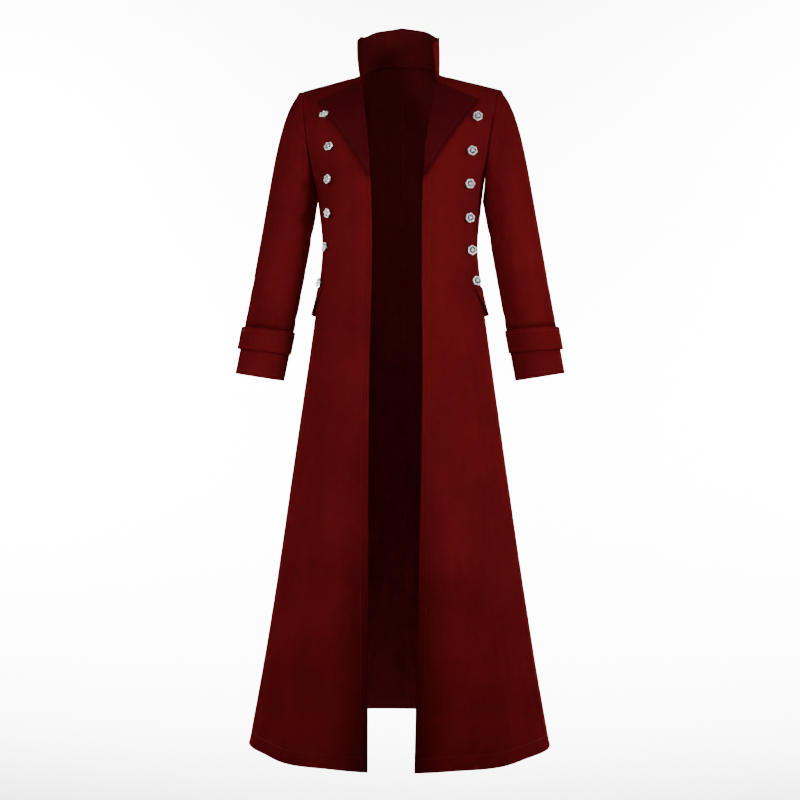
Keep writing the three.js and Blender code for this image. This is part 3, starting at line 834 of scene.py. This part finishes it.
def panel_grid(is_back):
    """Base points of a front or back panel."""
    size = level_sizes(ROW_LEVELS)
    outer = np.where(ROW_LEVELS <= 1, 90, size["arm"])
    first = np.full_like(outer, 180.0) if is_back else edge_angle(ROW_LEVELS)
    last = 180 - outer if is_back else outer
    angles = lerp(first[:, None], last[:, None], COLUMN_SHARES[None, :])
    levels = np.broadcast_to(ROW_LEVELS[:, None], angles.shape)
    return body_point(angles, levels, is_back)


# Painted shade beside the front edges and a painted shadow under the lapels:
# heights and widths in metres, the rest in shares.
PAINTED_SHADE_ZONE = {"top_z": -0.72, "full_z": -1.22, "narrow": 0.035, "wide": 0.085, "fade": 1.5,
            "lapel_shadow_reach": 8 * MM, "lapel_shadow_depth": 0.75}


def lapel_edge(rises):
    """The lapel's outer edge from the break, at 0, to its tip, at 1."""
    sag = LAPEL["hollow"] * np.sin(np.pi * rises)
    x = lerp(along(FRONT_EDGE, "x", BREAK_Z), LAPEL["tip_x"], rises) - sag * LAPEL["hollow_x"]
    z = lerp(BREAK_Z, LAPEL["tip_z"], rises) - sag * LAPEL["hollow_z"]
    return x, z


def paint_shade(piece, darkness):
    """Marks painted shade on the mesh; `darkness` gives 0 to 1 for places on the right side."""
    places = np.empty(3 * len(piece.data.vertices), np.float32)
    piece.data.vertices.foreach_get("co", places)
    right = places.reshape(-1, 3).astype(float)
    right[:, 0] = np.abs(right[:, 0])
    mark(piece, "painted_shade_mark", darkness(right))


def front_painted_shade(places):
    """A painted shadow under the lapel's edge, and painted shade beside the front edge,
    wider and stronger toward the hem."""
    x, _, z = places.T
    low = np.clip((PAINTED_SHADE_ZONE["top_z"] - z) / (PAINTED_SHADE_ZONE["top_z"] - PAINTED_SHADE_ZONE["full_z"]), 0, 1)
    inset = x - along(FRONT_EDGE, "x", z)
    near = np.clip(1 - inset / lerp(PAINTED_SHADE_ZONE["narrow"], PAINTED_SHADE_ZONE["wide"], low), 0, 1)
    edge_x, edge_z = lapel_edge(np.linspace(0, 1, 80))
    gap = np.hypot(x[:, None] - edge_x, z[:, None] - edge_z).min(1)
    under = PAINTED_SHADE_ZONE["lapel_shadow_depth"] * np.clip(1 - gap / PAINTED_SHADE_ZONE["lapel_shadow_reach"], 0, 1)
    return np.maximum(near ** PAINTED_SHADE_ZONE["fade"] * low, under)


def body_panel(word, name, side):
    """One long panel of the body, from the hem to the shoulder."""
    is_back = word == "back"
    facing = -1 if is_back else 1
    node = f"{word}_{name}"
    base = panel_grid(is_back)
    normals = grid_normals(base) * facing
    grid = pressed(base, normals, side_creases(word, side))
    sides = ["start", "end", "high"] if is_back else ["end", "high"]
    grid = seamed(grid, normals, sides, seed=40 + 10 * side + 5 * is_back)
    if not is_back:
        grid = turned_edge(grid, normals, "start", FRONT_STITCH)
    grid = turned_edge(grid, normals, "low", HEM_STITCH)
    piece = shell(node, grid, CLOTH, facing, [cloth, painted_shade_inside], side=side)
    normals = grid_normals(grid) * facing
    if is_back:
        inner = inset_line(grid, normals, "start", SEAM_STITCH, skip=SHORT_OF_ENDS)
    else:
        # Painted shade beside the front edge and a painted shadow under the lapel.
        paint_shade(piece, front_painted_shade)
        inner = inset_line(grid, normals, "start", FRONT_STITCH, skip=(6 * MM, FOLD_LENGTH))
    lines = [inset_line(grid, normals, "low", HEM_STITCH, skip=(4 * MM, 4 * MM)), inner,
             inset_line(grid, normals, "end", SEAM_STITCH, skip=SHORT_OF_ENDS)]
    seams = stitching(node, lines, thread, side)


# Sleeves

AROUND = 96
CAP_ROWS = 34
ARM_ROWS = 96
TURNS = 2 * np.pi * np.arange(AROUND) / AROUND


def sleeve_ring(t):
    middle = np.stack([lerp(BICEPS["x"], CUFF["x"], t), lerp(BICEPS["y"], CUFF["y"], t * t),
                       lerp(BICEPS["z"], CUFF["z"], t)], -1)
    return middle, lerp(BICEPS["half"], CUFF["half"], t), lerp(BICEPS["depth"], CUFF["depth"], t)


def sleeve_point(turn, t):
    """Points of the sleeve below its cap: turn 0 is outside, a quarter turn in front."""
    middle, half, depth = sleeve_ring(np.asarray(t, float))
    outward = np.array((math.cos(SLEEVE_TILT), 0, math.sin(SLEEVE_TILT)))
    forward = np.array((0, -1.0, 0))
    return (middle + (half * np.cos(turn))[..., None] * outward
            + (depth * np.sin(turn))[..., None] * forward)


def armhole_loop():
    """Points and cloth directions round the armhole, from the shoulder point down the
    front to the armpit and up the back."""
    half = AROUND // 2
    front_levels = 2 - np.arange(half) / half
    back_levels = 1 + np.arange(half) / half
    front_angles = level_sizes(front_levels)["arm"]
    back_angles = 180 - level_sizes(back_levels)["arm"]
    front_angles[front_levels <= 1] = 90
    points = np.concatenate([body_point(front_angles, front_levels, False),
                             body_point(back_angles, back_levels, True)])
    normals = np.concatenate([body_normal(front_angles, front_levels, False),
                              body_normal(back_angles, back_levels, True)])
    return points, normals


def sleeve_grid():
    points, normals = armhole_loop()
    low = ((1 - np.cos(TURNS)) / 2)[:, None]
    tangents = lerp(CAP_TANGENT_TOP, CAP_TANGENT_LOW, low)
    tangents[:, 1] = -CAP_SWELL * np.sin(TURNS)
    tangents = unit(tangents)
    away = unit(np.cross(normals, np.roll(points, -1, 0) - np.roll(points, 1, 0)))
    away = away * np.where(away[:, :1] + away[:, 2:] < 0, -1, 1)
    lift = np.clip(np.arctan2((tangents * normals).sum(1), (tangents * away).sum(1)), 0, np.pi)
    gap = away * np.cos(lift / 2)[:, None] + normals * np.sin(lift / 2)[:, None]
    start = points + SLEEVE_SEAM_GAP * gap
    end = sleeve_point(TURNS, np.zeros(AROUND))
    armward = unit(sleeve_point(TURNS, np.full(AROUND, 0.05)) - end)
    reach = np.linalg.norm(end - start, axis=1)[:, None]
    first = start + tangents * CAP_HANDLES["start"] * reach
    second = end - armward * CAP_HANDLES["end"] * reach
    rows = []
    for t in eased(CAP_ROWS, start=0.8)[:-1]:
        s = 1 - t
        rows.append(s ** 3 * start + 3 * s * s * t * first + 3 * s * t * t * second + t ** 3 * end)
    for t in eased(ARM_ROWS, end=0.8):
        rows.append(sleeve_point(TURNS, np.full(AROUND, t)))
    return np.array(rows)


# Creases of a sleeve: turn in degrees, place along the arm (0 is the biceps, 1 the
# cuff), how far round they reach, how much they slope, width and depth in millimetres.
SLEEVE_CREASES = (
    (120, 0.02, 40, 0.10, 10, -1.8),
    (210, 0.09, 45, -0.10, 10, -1.8),
    (100, 0.14, 35, 0.14, 12, -1.2),
    (235, 0.05, 50, -0.16, 11, -2.0),
    (85, 0.34, 38, 0.08, 12, -1.5),
    (110, 0.40, 42, -0.06, 11, -1.7),
    (80, 0.47, 38, 0.08, 12, -1.3),
    (250, 0.50, 50, 0.05, 10, -1.8),
    (40, 0.42, 40, -0.10, 12, -1.2),
    (250, 0.38, 45, 0.09, 11, -1.6),
    (60, 0.60, 45, 0.08, 10, -1.5),
    (200, 0.62, 45, -0.06, 9, -1.6),
    (110, 0.665, 60, 0.04, 7, -1.6),
    (290, 0.66, 55, -0.05, 8, -1.4),
)
SLEEVE_LENGTH = 0.35
SLEEVE_HEAD = {"rise": 2.6 * MM, "from_seam": 6 * MM, "width": 6 * MM}
SLEEVE_EASE = {"height": 0.5 * MM, "from_seam": 9 * MM, "width": 9 * MM}
SLEEVE_SPREAD = {"turn": 16, "place": 0.03, "depth": 0.4}
BACK_SEAM = {"turn": 215, "depth": 0.8 * MM, "width": 2.2}

# The turns of a sleeve laid out as a run, for waves round it.
ROUND_RUN = TURNS[None, :] / 9


def turned_from(degrees, turn):
    """Degrees round the sleeve from one place to another, between -180 and 180."""
    return (degrees - turn + 180) % 360 - 180


def sleeve_relief(grid, normals, side):
    """Presses the sleeve's creases in, and gathers a little ease and a rise into its cap."""
    draw = np.random.default_rng(61 if side > 0 else 67)
    t = np.concatenate([np.linspace(-0.5, 0, CAP_ROWS)[:-1], eased(ARM_ROWS, end=0.8)])
    place = t[:, None] * SLEEVE_LENGTH
    degrees = np.degrees(TURNS)[None, :]
    lift = np.zeros(grid.shape[:2])
    for turn, at, reach, slope, width, depth in SLEEVE_CREASES:
        turn += SLEEVE_SPREAD["turn"] * (draw.random() - 0.5)
        at += SLEEVE_SPREAD["place"] * (draw.random() - 0.5)
        depth *= 1 + SLEEVE_SPREAD["depth"] * (2 * draw.random() - 1)
        off = turned_from(degrees, turn)
        line = (at + slope * off / 90) * SLEEVE_LENGTH
        lift += depth * MM * hump(place - line, width * MM) * hump(off, reach)
    cap = run_along(grid, 0)
    ease = SLEEVE_EASE["height"] * waves(ROUND_RUN, 71 + side, shortest=0.02, longest=0.05)
    top = np.clip(np.cos(TURNS), 0, 1)[None, :]
    lift += ease * top * hump(cap - SLEEVE_EASE["from_seam"], SLEEVE_EASE["width"])
    roped = hump(cap - SLEEVE_HEAD["from_seam"], SLEEVE_HEAD["width"])
    lift += SLEEVE_HEAD["rise"] * top ** 2 * roped
    groove = SEAM["depth"] * hump(cap, SEAM["width"])
    seam = hump(turned_from(degrees, BACK_SEAM["turn"]), BACK_SEAM["width"])
    return grid + normals * (lift - groove - BACK_SEAM["depth"] * seam)[..., None]


CUFF_STITCH = 9 * MM

# The straps lie this share of the arm's length lower outside, and higher inside.
STRAP_SLANT = {"left": 0.006, "right": 0.012}
# How dark the painted shadow beside the strap is, and how far it reaches.
STRAP_SHADE = {"depth": 0.7, "reach": 10 * MM}
STRAP_SWELL = 0.5 * MM


def strap_painted_shadow(places, slant):
    """Painted shadow on the sleeve along both edges of the strap."""
    start, end = sleeve_ring(0.0)[0], sleeve_ring(1.0)[0]
    arm = end - start
    t = (places - start) @ arm / (arm @ arm)
    outward = (places - start - t[:, None] * arm)[:, 0] / CUFF["half"]
    level = t - slant * outward
    gap = np.minimum(np.abs(level - STRAP["top"]), np.abs(level - STRAP["bottom"]))
    return STRAP_SHADE["depth"] * np.clip(1 - gap * SLEEVE_LENGTH / STRAP_SHADE["reach"], 0, 1)


def sleeve(name, side):
    """One sleeve, with the stitches of its hem."""
    node = f"sleeve_{name}"
    base = sleeve_grid()
    grid = sleeve_relief(base, grid_normals(base, True), side)
    piece = shell(node, grid, CLOTH, 1, [cloth, painted_shade_inside], is_loop=True, side=side)
    # Painted shadow on the sleeve beside the strap.
    paint_shade(piece, lambda places: strap_painted_shadow(places, STRAP_SLANT[name]))
    line = inset_line(grid, grid_normals(grid, True), "high", CUFF_STITCH)
    seam = stitching(node, [closed(line)], thread, side)


def cuff_strap(name, side):
    """The band round the sleeve, a little lower outside, with its two rows of stitching."""
    node = f"cuff_strap_{name}"
    rows = []
    for t in lerp(STRAP["top"], STRAP["bottom"], eased(15, start=0.7, end=0.7)):
        near = sleeve_point(TURNS, t + STRAP_SLANT[name] * np.cos(TURNS))
        off = lerp(STRAP["inner"], STRAP["outer"], ((1 + np.cos(TURNS)) / 2) ** 2)
        rows.append(near + unit(near - sleeve_ring(t)[0]) * (off + DOUBLE_CLOTH)[:, None])
    grid = np.array(rows)
    normals = grid_normals(grid, True)
    swell = STRAP_SWELL * waves(ROUND_RUN, 83 + side, shortest=0.05, longest=0.2)
    grid = grid + normals * swell[..., None]
    piece = shell(node, grid, DOUBLE_CLOTH, 1, [cloth, cloth], is_loop=True, side=side)
    lines = [closed(inset_line(grid, normals, edge, EDGE_STITCH)) for edge in ("low", "high")]
    seams = stitching(node, lines, thread, side)


# Collar

# The back neck's share of the points, how far it turns toward the arm, and how its points
# crowd at the middle.
NECK_EDGE = {"back_share": 0.62, "turn": 0.28, "crowd": 1.3}


def neck_edge(count):
    """Points from the middle back round the neck corner to the collar's end."""
    behind = round(count * NECK_EDGE["back_share"])
    shares = NECK_EDGE["turn"] * np.linspace(0, 1, behind + 1) ** NECK_EDGE["crowd"]
    angles = 180 - level_sizes(2.0)["arm"] * shares
    back = body_point(angles, np.full_like(angles, 2.0), True)
    z = lerp(NECK["z"], COLLAR_END_Z, (np.arange(1, count - behind + 1) / (count - behind)) ** 2)
    angle, level = front_place(along(FRONT_EDGE, "x", z), z)
    return np.concatenate([back, body_point(angle, level, False)])


def collar():
    """The standing band round the neck, open in front."""
    half = neck_edge(56)
    base = np.concatenate([mirrored(half[:0:-1]), half])
    run = run_along(base[None], 1)[0]
    share = np.abs(run / run[-1] * 2 - 1)
    is_left = base[:, 0] < 0
    lean = np.where(is_left, COLLAR_LEAN_IN["left"], COLLAR_LEAN_IN["right"]) * share ** 5
    rises = [along(COLLAR_RISE[name], "z", share, "share") for name in ("left", "right")]
    near_end = np.clip((share - COLLAR["corner_from"]) / (1 - COLLAR["corner_from"]), 0, 1)
    top = along(COLLAR_TOP, "z", share, "share") + np.where(is_left, rises[0], rises[1])
    top = top - COLLAR["corner"] * near_end ** 3
    flat = base * np.array((1, 1, 0))
    ahead = unit(np.gradient(flat, axis=0))
    out = np.stack([-ahead[:, 1], ahead[:, 0], 0 * share], -1)
    out = out * np.where((out * flat).sum(1, keepdims=True) < 0, -1, 1)
    sway = COLLAR["sway"] * waves(run, 97, shortest=0.09, longest=0.25)
    seat = COLLAR["seat"] - COLLAR["seam_dip"] * hump(share, COLLAR["dip_width"])
    rows = []
    for rise in eased(40, start=0.8, end=0.8):
        spread = COLLAR["belly"] * math.sin(math.pi * rise) + COLLAR["flare"] * rise ** 3
        row = base + out * (spread + sway * rise)[:, None]
        row[:, 0] -= np.sign(base[:, 0]) * lean * math.sin(math.pi / 2 * rise)
        row[:, 2] += seat * (1 - rise) + (top - base[:, 2]) * rise
        rows.append(row)
    grid = np.array(rows)
    grid = seamed(grid, -grid_normals(grid), ["low"], seed=5)
    piece = shell("collar", grid, DOUBLE_CLOTH, -1, [cloth, painted_shade_inside])
    normals = -grid_normals(grid)
    lines = [inset_line(grid, normals, "high", EDGE_STITCH, skip=(6 * MM, 6 * MM))]
    lines += [inset_line(grid, normals, edge, EDGE_STITCH, skip=SHORT_OF_ENDS)
              for edge in ("start", "end")]
    seams = stitching("collar", lines, thread)


# Lapels

def lapel(name, side):
    """The folded-out corner of the front: a roll at the fold, then the laid-back part."""
    node = f"lapel_{name}"
    rises = lerp(0.02, 1, eased(64, end=0.6))
    shares = eased(40, end=0.8)
    fold_z = lerp(BREAK_Z, LAPEL["root_z"], rises)
    fold_x = along(FRONT_EDGE, "x", fold_z)
    edge_x, edge_z = lapel_edge(rises)
    x = lerp(fold_x[:, None], edge_x[:, None], shares)
    z = lerp(fold_z[:, None], edge_z[:, None], shares)
    angle, level = front_place(x, z)
    surface = body_point(angle, level, False)
    out = body_normal(angle, level, False)
    roll = LAPEL["roll"] * np.clip(rises / LAPEL["roll_full"], 0.25, 1)[:, None]
    settled = LAID_ON + DOUBLE_CLOTH
    off = settled + (2 * roll - settled) * np.exp(-shares / LAPEL["settle"])
    lift = LAPEL["tip_lift"] * shares ** 4 * lerp(LAPEL["root_lift"], 1, rises[:, None] ** 3)
    belly = LAPEL["belly"] * waves(x + z * 0.4, 31 + side, shortest=0.09, longest=0.25)
    laid = surface + out * (off + lift + belly * shares)[..., None]
    inward = unit(surface[:, 0] - surface[:, 3])
    arc = []
    for turn in np.linspace(0, np.pi, 12)[:-1]:
        height, bulge = roll * (1 - math.cos(turn)), roll * math.sin(turn)
        arc.append(surface[:, 0] + out[:, 0] * height + inward * bulge)
    grid = np.concatenate([np.stack(arc, 1), laid], 1)
    piece = shell(node, grid, LAPEL["wall"], 1, [lapel_cloth, lapel_cloth], side=side)
    normals = grid_normals(grid)
    lines = [inset_line(grid, normals, "end", EDGE_STITCH, skip=(14 * MM, 6 * MM)),
             inset_line(grid, normals, "high", EDGE_STITCH, skip=(8 * MM, 6 * MM))]
    seams = stitching(node, lines, lapel_thread, side)


# Pocket flaps

def pocket_flap(name, side):
    """A flap sewn on along its top line; its free hem stands off the hip."""
    node = f"pocket_flap_{name}"
    drops = eased(26, start=0.6, end=0.8)
    shares = eased(64, start=0.8, end=0.8)
    rows = []
    for drop in drops:
        z = lerp(FLAP["top_z"], FLAP["bottom_z"], drop)
        angles = lerp(FLAP["start"], FLAP["end"], shares) + FLAP["slant"] * drop
        levels = np.full_like(angles, (z - HEM_Z) / (ARMPIT_Z - HEM_Z))
        off = LAID_ON + DOUBLE_CLOTH + FLAP["flare"] * drop ** 1.5
        front, back = (body_point(angles, levels, is_back) + off * body_normal(angles, levels, is_back)
                       for is_back in (False, True))
        rows.append(np.where((angles > 90)[:, None], back, front))
    grid = np.array(rows)
    normals = -grid_normals(grid)
    ripple = FLAP["ripple"] * waves(run_along(grid, 1), 19 + side, shortest=0.06, longest=0.16)
    grid = grid + normals * (ripple * drops[:, None] ** 2)[..., None]
    grid = seamed(grid, normals, ["low"], seed=3)
    piece = shell(node, grid, FLAP["wall"], -1, [cloth, cloth], side=side)
    normals = -grid_normals(grid)
    lines = [inset_line(grid, normals, edge, SEAM_STITCH, skip=(5 * MM, 5 * MM))
             for edge in ("low", "high", "start", "end")]
    seams = stitching(node, lines, thread, side)


# Buttons

BUTTON_RADIUS = 9.7 * MM
BUTTON_AROUND = 96
BUTTON_SPIN = {"step": 17, "left": 31, "right": 9}
DOME = 1.6 * MM
FACE_HEIGHT = 7 * MM
PETALS = 6
LOBES = 6
LOBE_DEPTH = 0.045

# Rings of the shank and the back: radius as a share, and height in millimetres.
BUTTON_BACK = ((0.24, 0.0), (0.24, 5.2), (0.30, 5.6), (0.88, 5.9), (0.98, 6.3))

# Reliefs of the face: height in millimetres, place and width as shares of the radius.
BUTTON_RELIEF = {
    "rim": (1.9, 0.80, 0.13),
    "facets": (1.3, 0.84, 0.14),
    "moat": (-2.6, 0.55, 0.13),
    "rosette": (1.1, 0.34, 0.13),
    "between": (-1.0, 0.32, 0.15),
}
KNOB = {"height": 0.9 * MM, "width": 0.13}

# The silver is bright this far above the dome and dark a span lower.
RECESS = {"bright": 0.3 * MM, "span": 0.6 * MM}


def button_height(share, turn):
    """Height of the button's face: six blunt facets, a ring-shaped recess and a rosette."""
    relief = {name: height * MM * hump(share - place, width)
              for name, (height, place, width) in BUTTON_RELIEF.items()}
    petal = 0.5 + 0.5 * np.cos(PETALS * turn)
    knob = KNOB["height"] * np.exp(-((share / KNOB["width"]) ** 4))
    return (DOME * (1 - share ** 2) + relief["rim"] + relief["facets"] * np.cos(LOBES * turn)
            + relief["moat"] + relief["rosette"] * petal ** 1.5
            + relief["between"] * (1 - petal) + knob)


def button_mesh(name, place):
    """A shank button with an embossed rosette, turned to its place on the coat."""
    turns = 2 * np.pi * np.arange(BUTTON_AROUND) / BUTTON_AROUND
    level = np.ones(BUTTON_AROUND)
    lobed = 1 + LOBE_DEPTH * np.cos(LOBES * turns)
    rings, depths = [], []

    def add_ring(radius, height, depth):
        rings.append(np.stack([radius * np.cos(turns), radius * np.sin(turns), height], -1))
        depths.append(depth)

    for share, height in BUTTON_BACK:
        edge = lobed if share > 0.5 else level
        add_ring(BUTTON_RADIUS * share * edge, height * MM * level, 0.5 * level)
    for share in np.linspace(1, 0.03, 34):
        height = button_height(share, turns)
        above = height - DOME * (1 - share ** 2)
        depth = np.clip((RECESS["bright"] - above) / RECESS["span"], 0, 1)
        edge = lerp(1, lobed, share ** 4)
        add_ring(BUTTON_RADIUS * share * edge, FACE_HEIGHT + height, depth)
    ids = np.arange(len(rings) * BUTTON_AROUND).reshape(-1, BUTTON_AROUND)
    after = np.roll(ids, -1, 1)
    faces = np.stack([ids[:-1], after[:-1], after[1:], ids[1:]], -1).reshape(-1, 4).tolist()
    faces += [ids[0, ::-1].tolist(), ids[-1].tolist()]
    placed = np.array([place @ Vector(p) for p in np.concatenate(rings)])
    piece = new_piece(name, placed, faces, [0] * len(faces), [silver])
    mark(piece, "recess", np.concatenate(depths))
    return piece


def button(number, row, name, side):
    """One button of a row, standing on the cloth by its shank."""
    angle, level = front_place(row["x"], row["z"])
    normal = Vector(body_normal(angle, level, False))
    point = Vector(body_point(angle, level, False))
    normal.x *= side
    point.x *= side
    axis = normal.lerp(Vector((0, -1, 0)), row["ahead"]).normalized()
    axis.rotate(Matrix.Rotation(math.radians(row["nod"]), 3, "X"))
    lift = BUTTON_SEAT["gap"] + BUTTON_SEAT["shank"] * math.sin(axis.angle(normal))
    spin = math.radians(BUTTON_SPIN["step"] * number + BUTTON_SPIN[name])
    turned = axis.to_track_quat("Z", "Y").to_matrix().to_4x4()
    place = Matrix.Translation(point + normal * lift) @ turned @ Matrix.Rotation(spin, 4, "Z")
    piece = button_mesh(f"silver_button_{name}_{number}", place)
    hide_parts(f"button_{name}_{number}")


# Stage

FLOOR_Z = HEM_Z - 0.36
PALE = (0.95, 0.95, 0.95)


def add_stage():
    """A plain pale floor that curves up into a backdrop."""
    material, _, _, shader = new_material("pale_floor")
    shader.inputs["Base Color"].default_value = (*PALE, 1)
    shader.inputs["Roughness"].default_value = 0.9
    half, near, far, bend, top = 9.0, -7.0, 3.5, 2.0, 5.5
    profile = [(near, FLOOR_Z), (far - bend, FLOOR_Z)]
    for step in range(1, 17):
        turn = math.pi / 2 * step / 16
        profile.append((far - bend + bend * math.sin(turn), FLOOR_Z + bend * (1 - math.cos(turn))))
    profile.append((far, top))
    points = [(s * half, y, z) for y, z in profile for s in (-1, 1)]
    faces = [(2 * k, 2 * k + 1, 2 * k + 3, 2 * k + 2) for k in range(len(profile) - 1)]
    mesh = bpy.data.meshes.new("stage_floor")
    mesh.from_pydata(points, [], faces)
    mesh.polygons.foreach_set("use_smooth", [True] * len(faces))
    mesh.materials.append(material)
    floor = bpy.data.objects.new("stage_floor", mesh)
    bpy.context.scene.collection.objects.link(floor)


# Lamps: a key from the right, a fill from the left, one for the inside of the coat, and
# the rest for the floor and the backdrop. Powers are watts, spreads degrees.
LAMPS = rows_of(
    "name place target size power spread",
    ("key_light", (2.1, -1.25, 0.1), (0.3, 0, -0.57), (0.6, 0.6), 16, 75),
    ("fill_light", (-1.5, -1.9, 0.0), (-0.25, 0, -0.8), (0.6, 0.6), 10.5, 70),
    ("inside_light", (0.18, -2.9, -0.2), (0, 0.1, -0.2), (0.25, 0.25), 5, 50),
    ("floor_light", (0.0, 1.9, 1.6), (0, 2.1, FLOOR_Z), (2.6, 1.0), 100, 90),
    ("backdrop_left", (-3.4, 1.6, 0.8), (-0.4, 3.6, -0.6), (1.2, 2.4), 640, 100),
    ("backdrop_right", (3.4, 1.6, 0.8), (0.4, 3.6, -0.6), (1.2, 2.4), 640, 100),
)
AIR_STRENGTH = 0.06


def area_light(name, place, target, size, power, spread):
    """A softbox; a spread under 180 degrees is a grid in front of it."""
    light = bpy.data.lights.new(name, "AREA")
    light.shape = "RECTANGLE"
    light.size, light.size_y = size
    light.energy = power
    light.spread = math.radians(spread)
    lamp = bpy.data.objects.new(name, light)
    lamp.location = place
    lamp.rotation_euler = (Vector(target) - Vector(place)).to_track_quat("-Z", "Y").to_euler()
    bpy.context.scene.collection.objects.link(lamp)


def add_lights():
    """The lamps and a faint even light from all round."""
    for lamp in LAMPS:
        area_light(**lamp)
    world = bpy.data.worlds.new("studio_air")
    world.use_nodes = True
    world.node_tree.nodes["Background"].inputs["Color"].default_value = (1, 1, 1, 1)
    world.node_tree.nodes["Background"].inputs["Strength"].default_value = AIR_STRENGTH
    bpy.context.scene.world = world


def add_camera():
    data = bpy.data.cameras.new("camera")
    data.lens = EYE["focal_mm"]
    data.sensor_width = EYE["sensor_mm"]
    turn = math.radians(EYE["azimuth"])
    camera = bpy.data.objects.new("camera", data)
    camera.location = (EYE["distance"] * math.sin(turn), -EYE["distance"] * math.cos(turn),
                       EYE["height"])
    camera.rotation_euler = (math.pi / 2, 0, turn)
    bpy.context.scene.collection.objects.link(camera)
    bpy.context.scene.camera = camera


add_camera()
for side_name, side_sign in (("left", -1), ("right", 1)):
    body_panel("front", side_name, side_sign)
    body_panel("back", side_name, side_sign)
    sleeve(side_name, side_sign)
    cuff_strap(side_name, side_sign)
    lapel(side_name, side_sign)
    pocket_flap(side_name, side_sign)
    for index, button_row in enumerate(BUTTONS[side_name], start=1):
        button(index, button_row, side_name, side_sign)
collar()
add_stage()
add_lights()
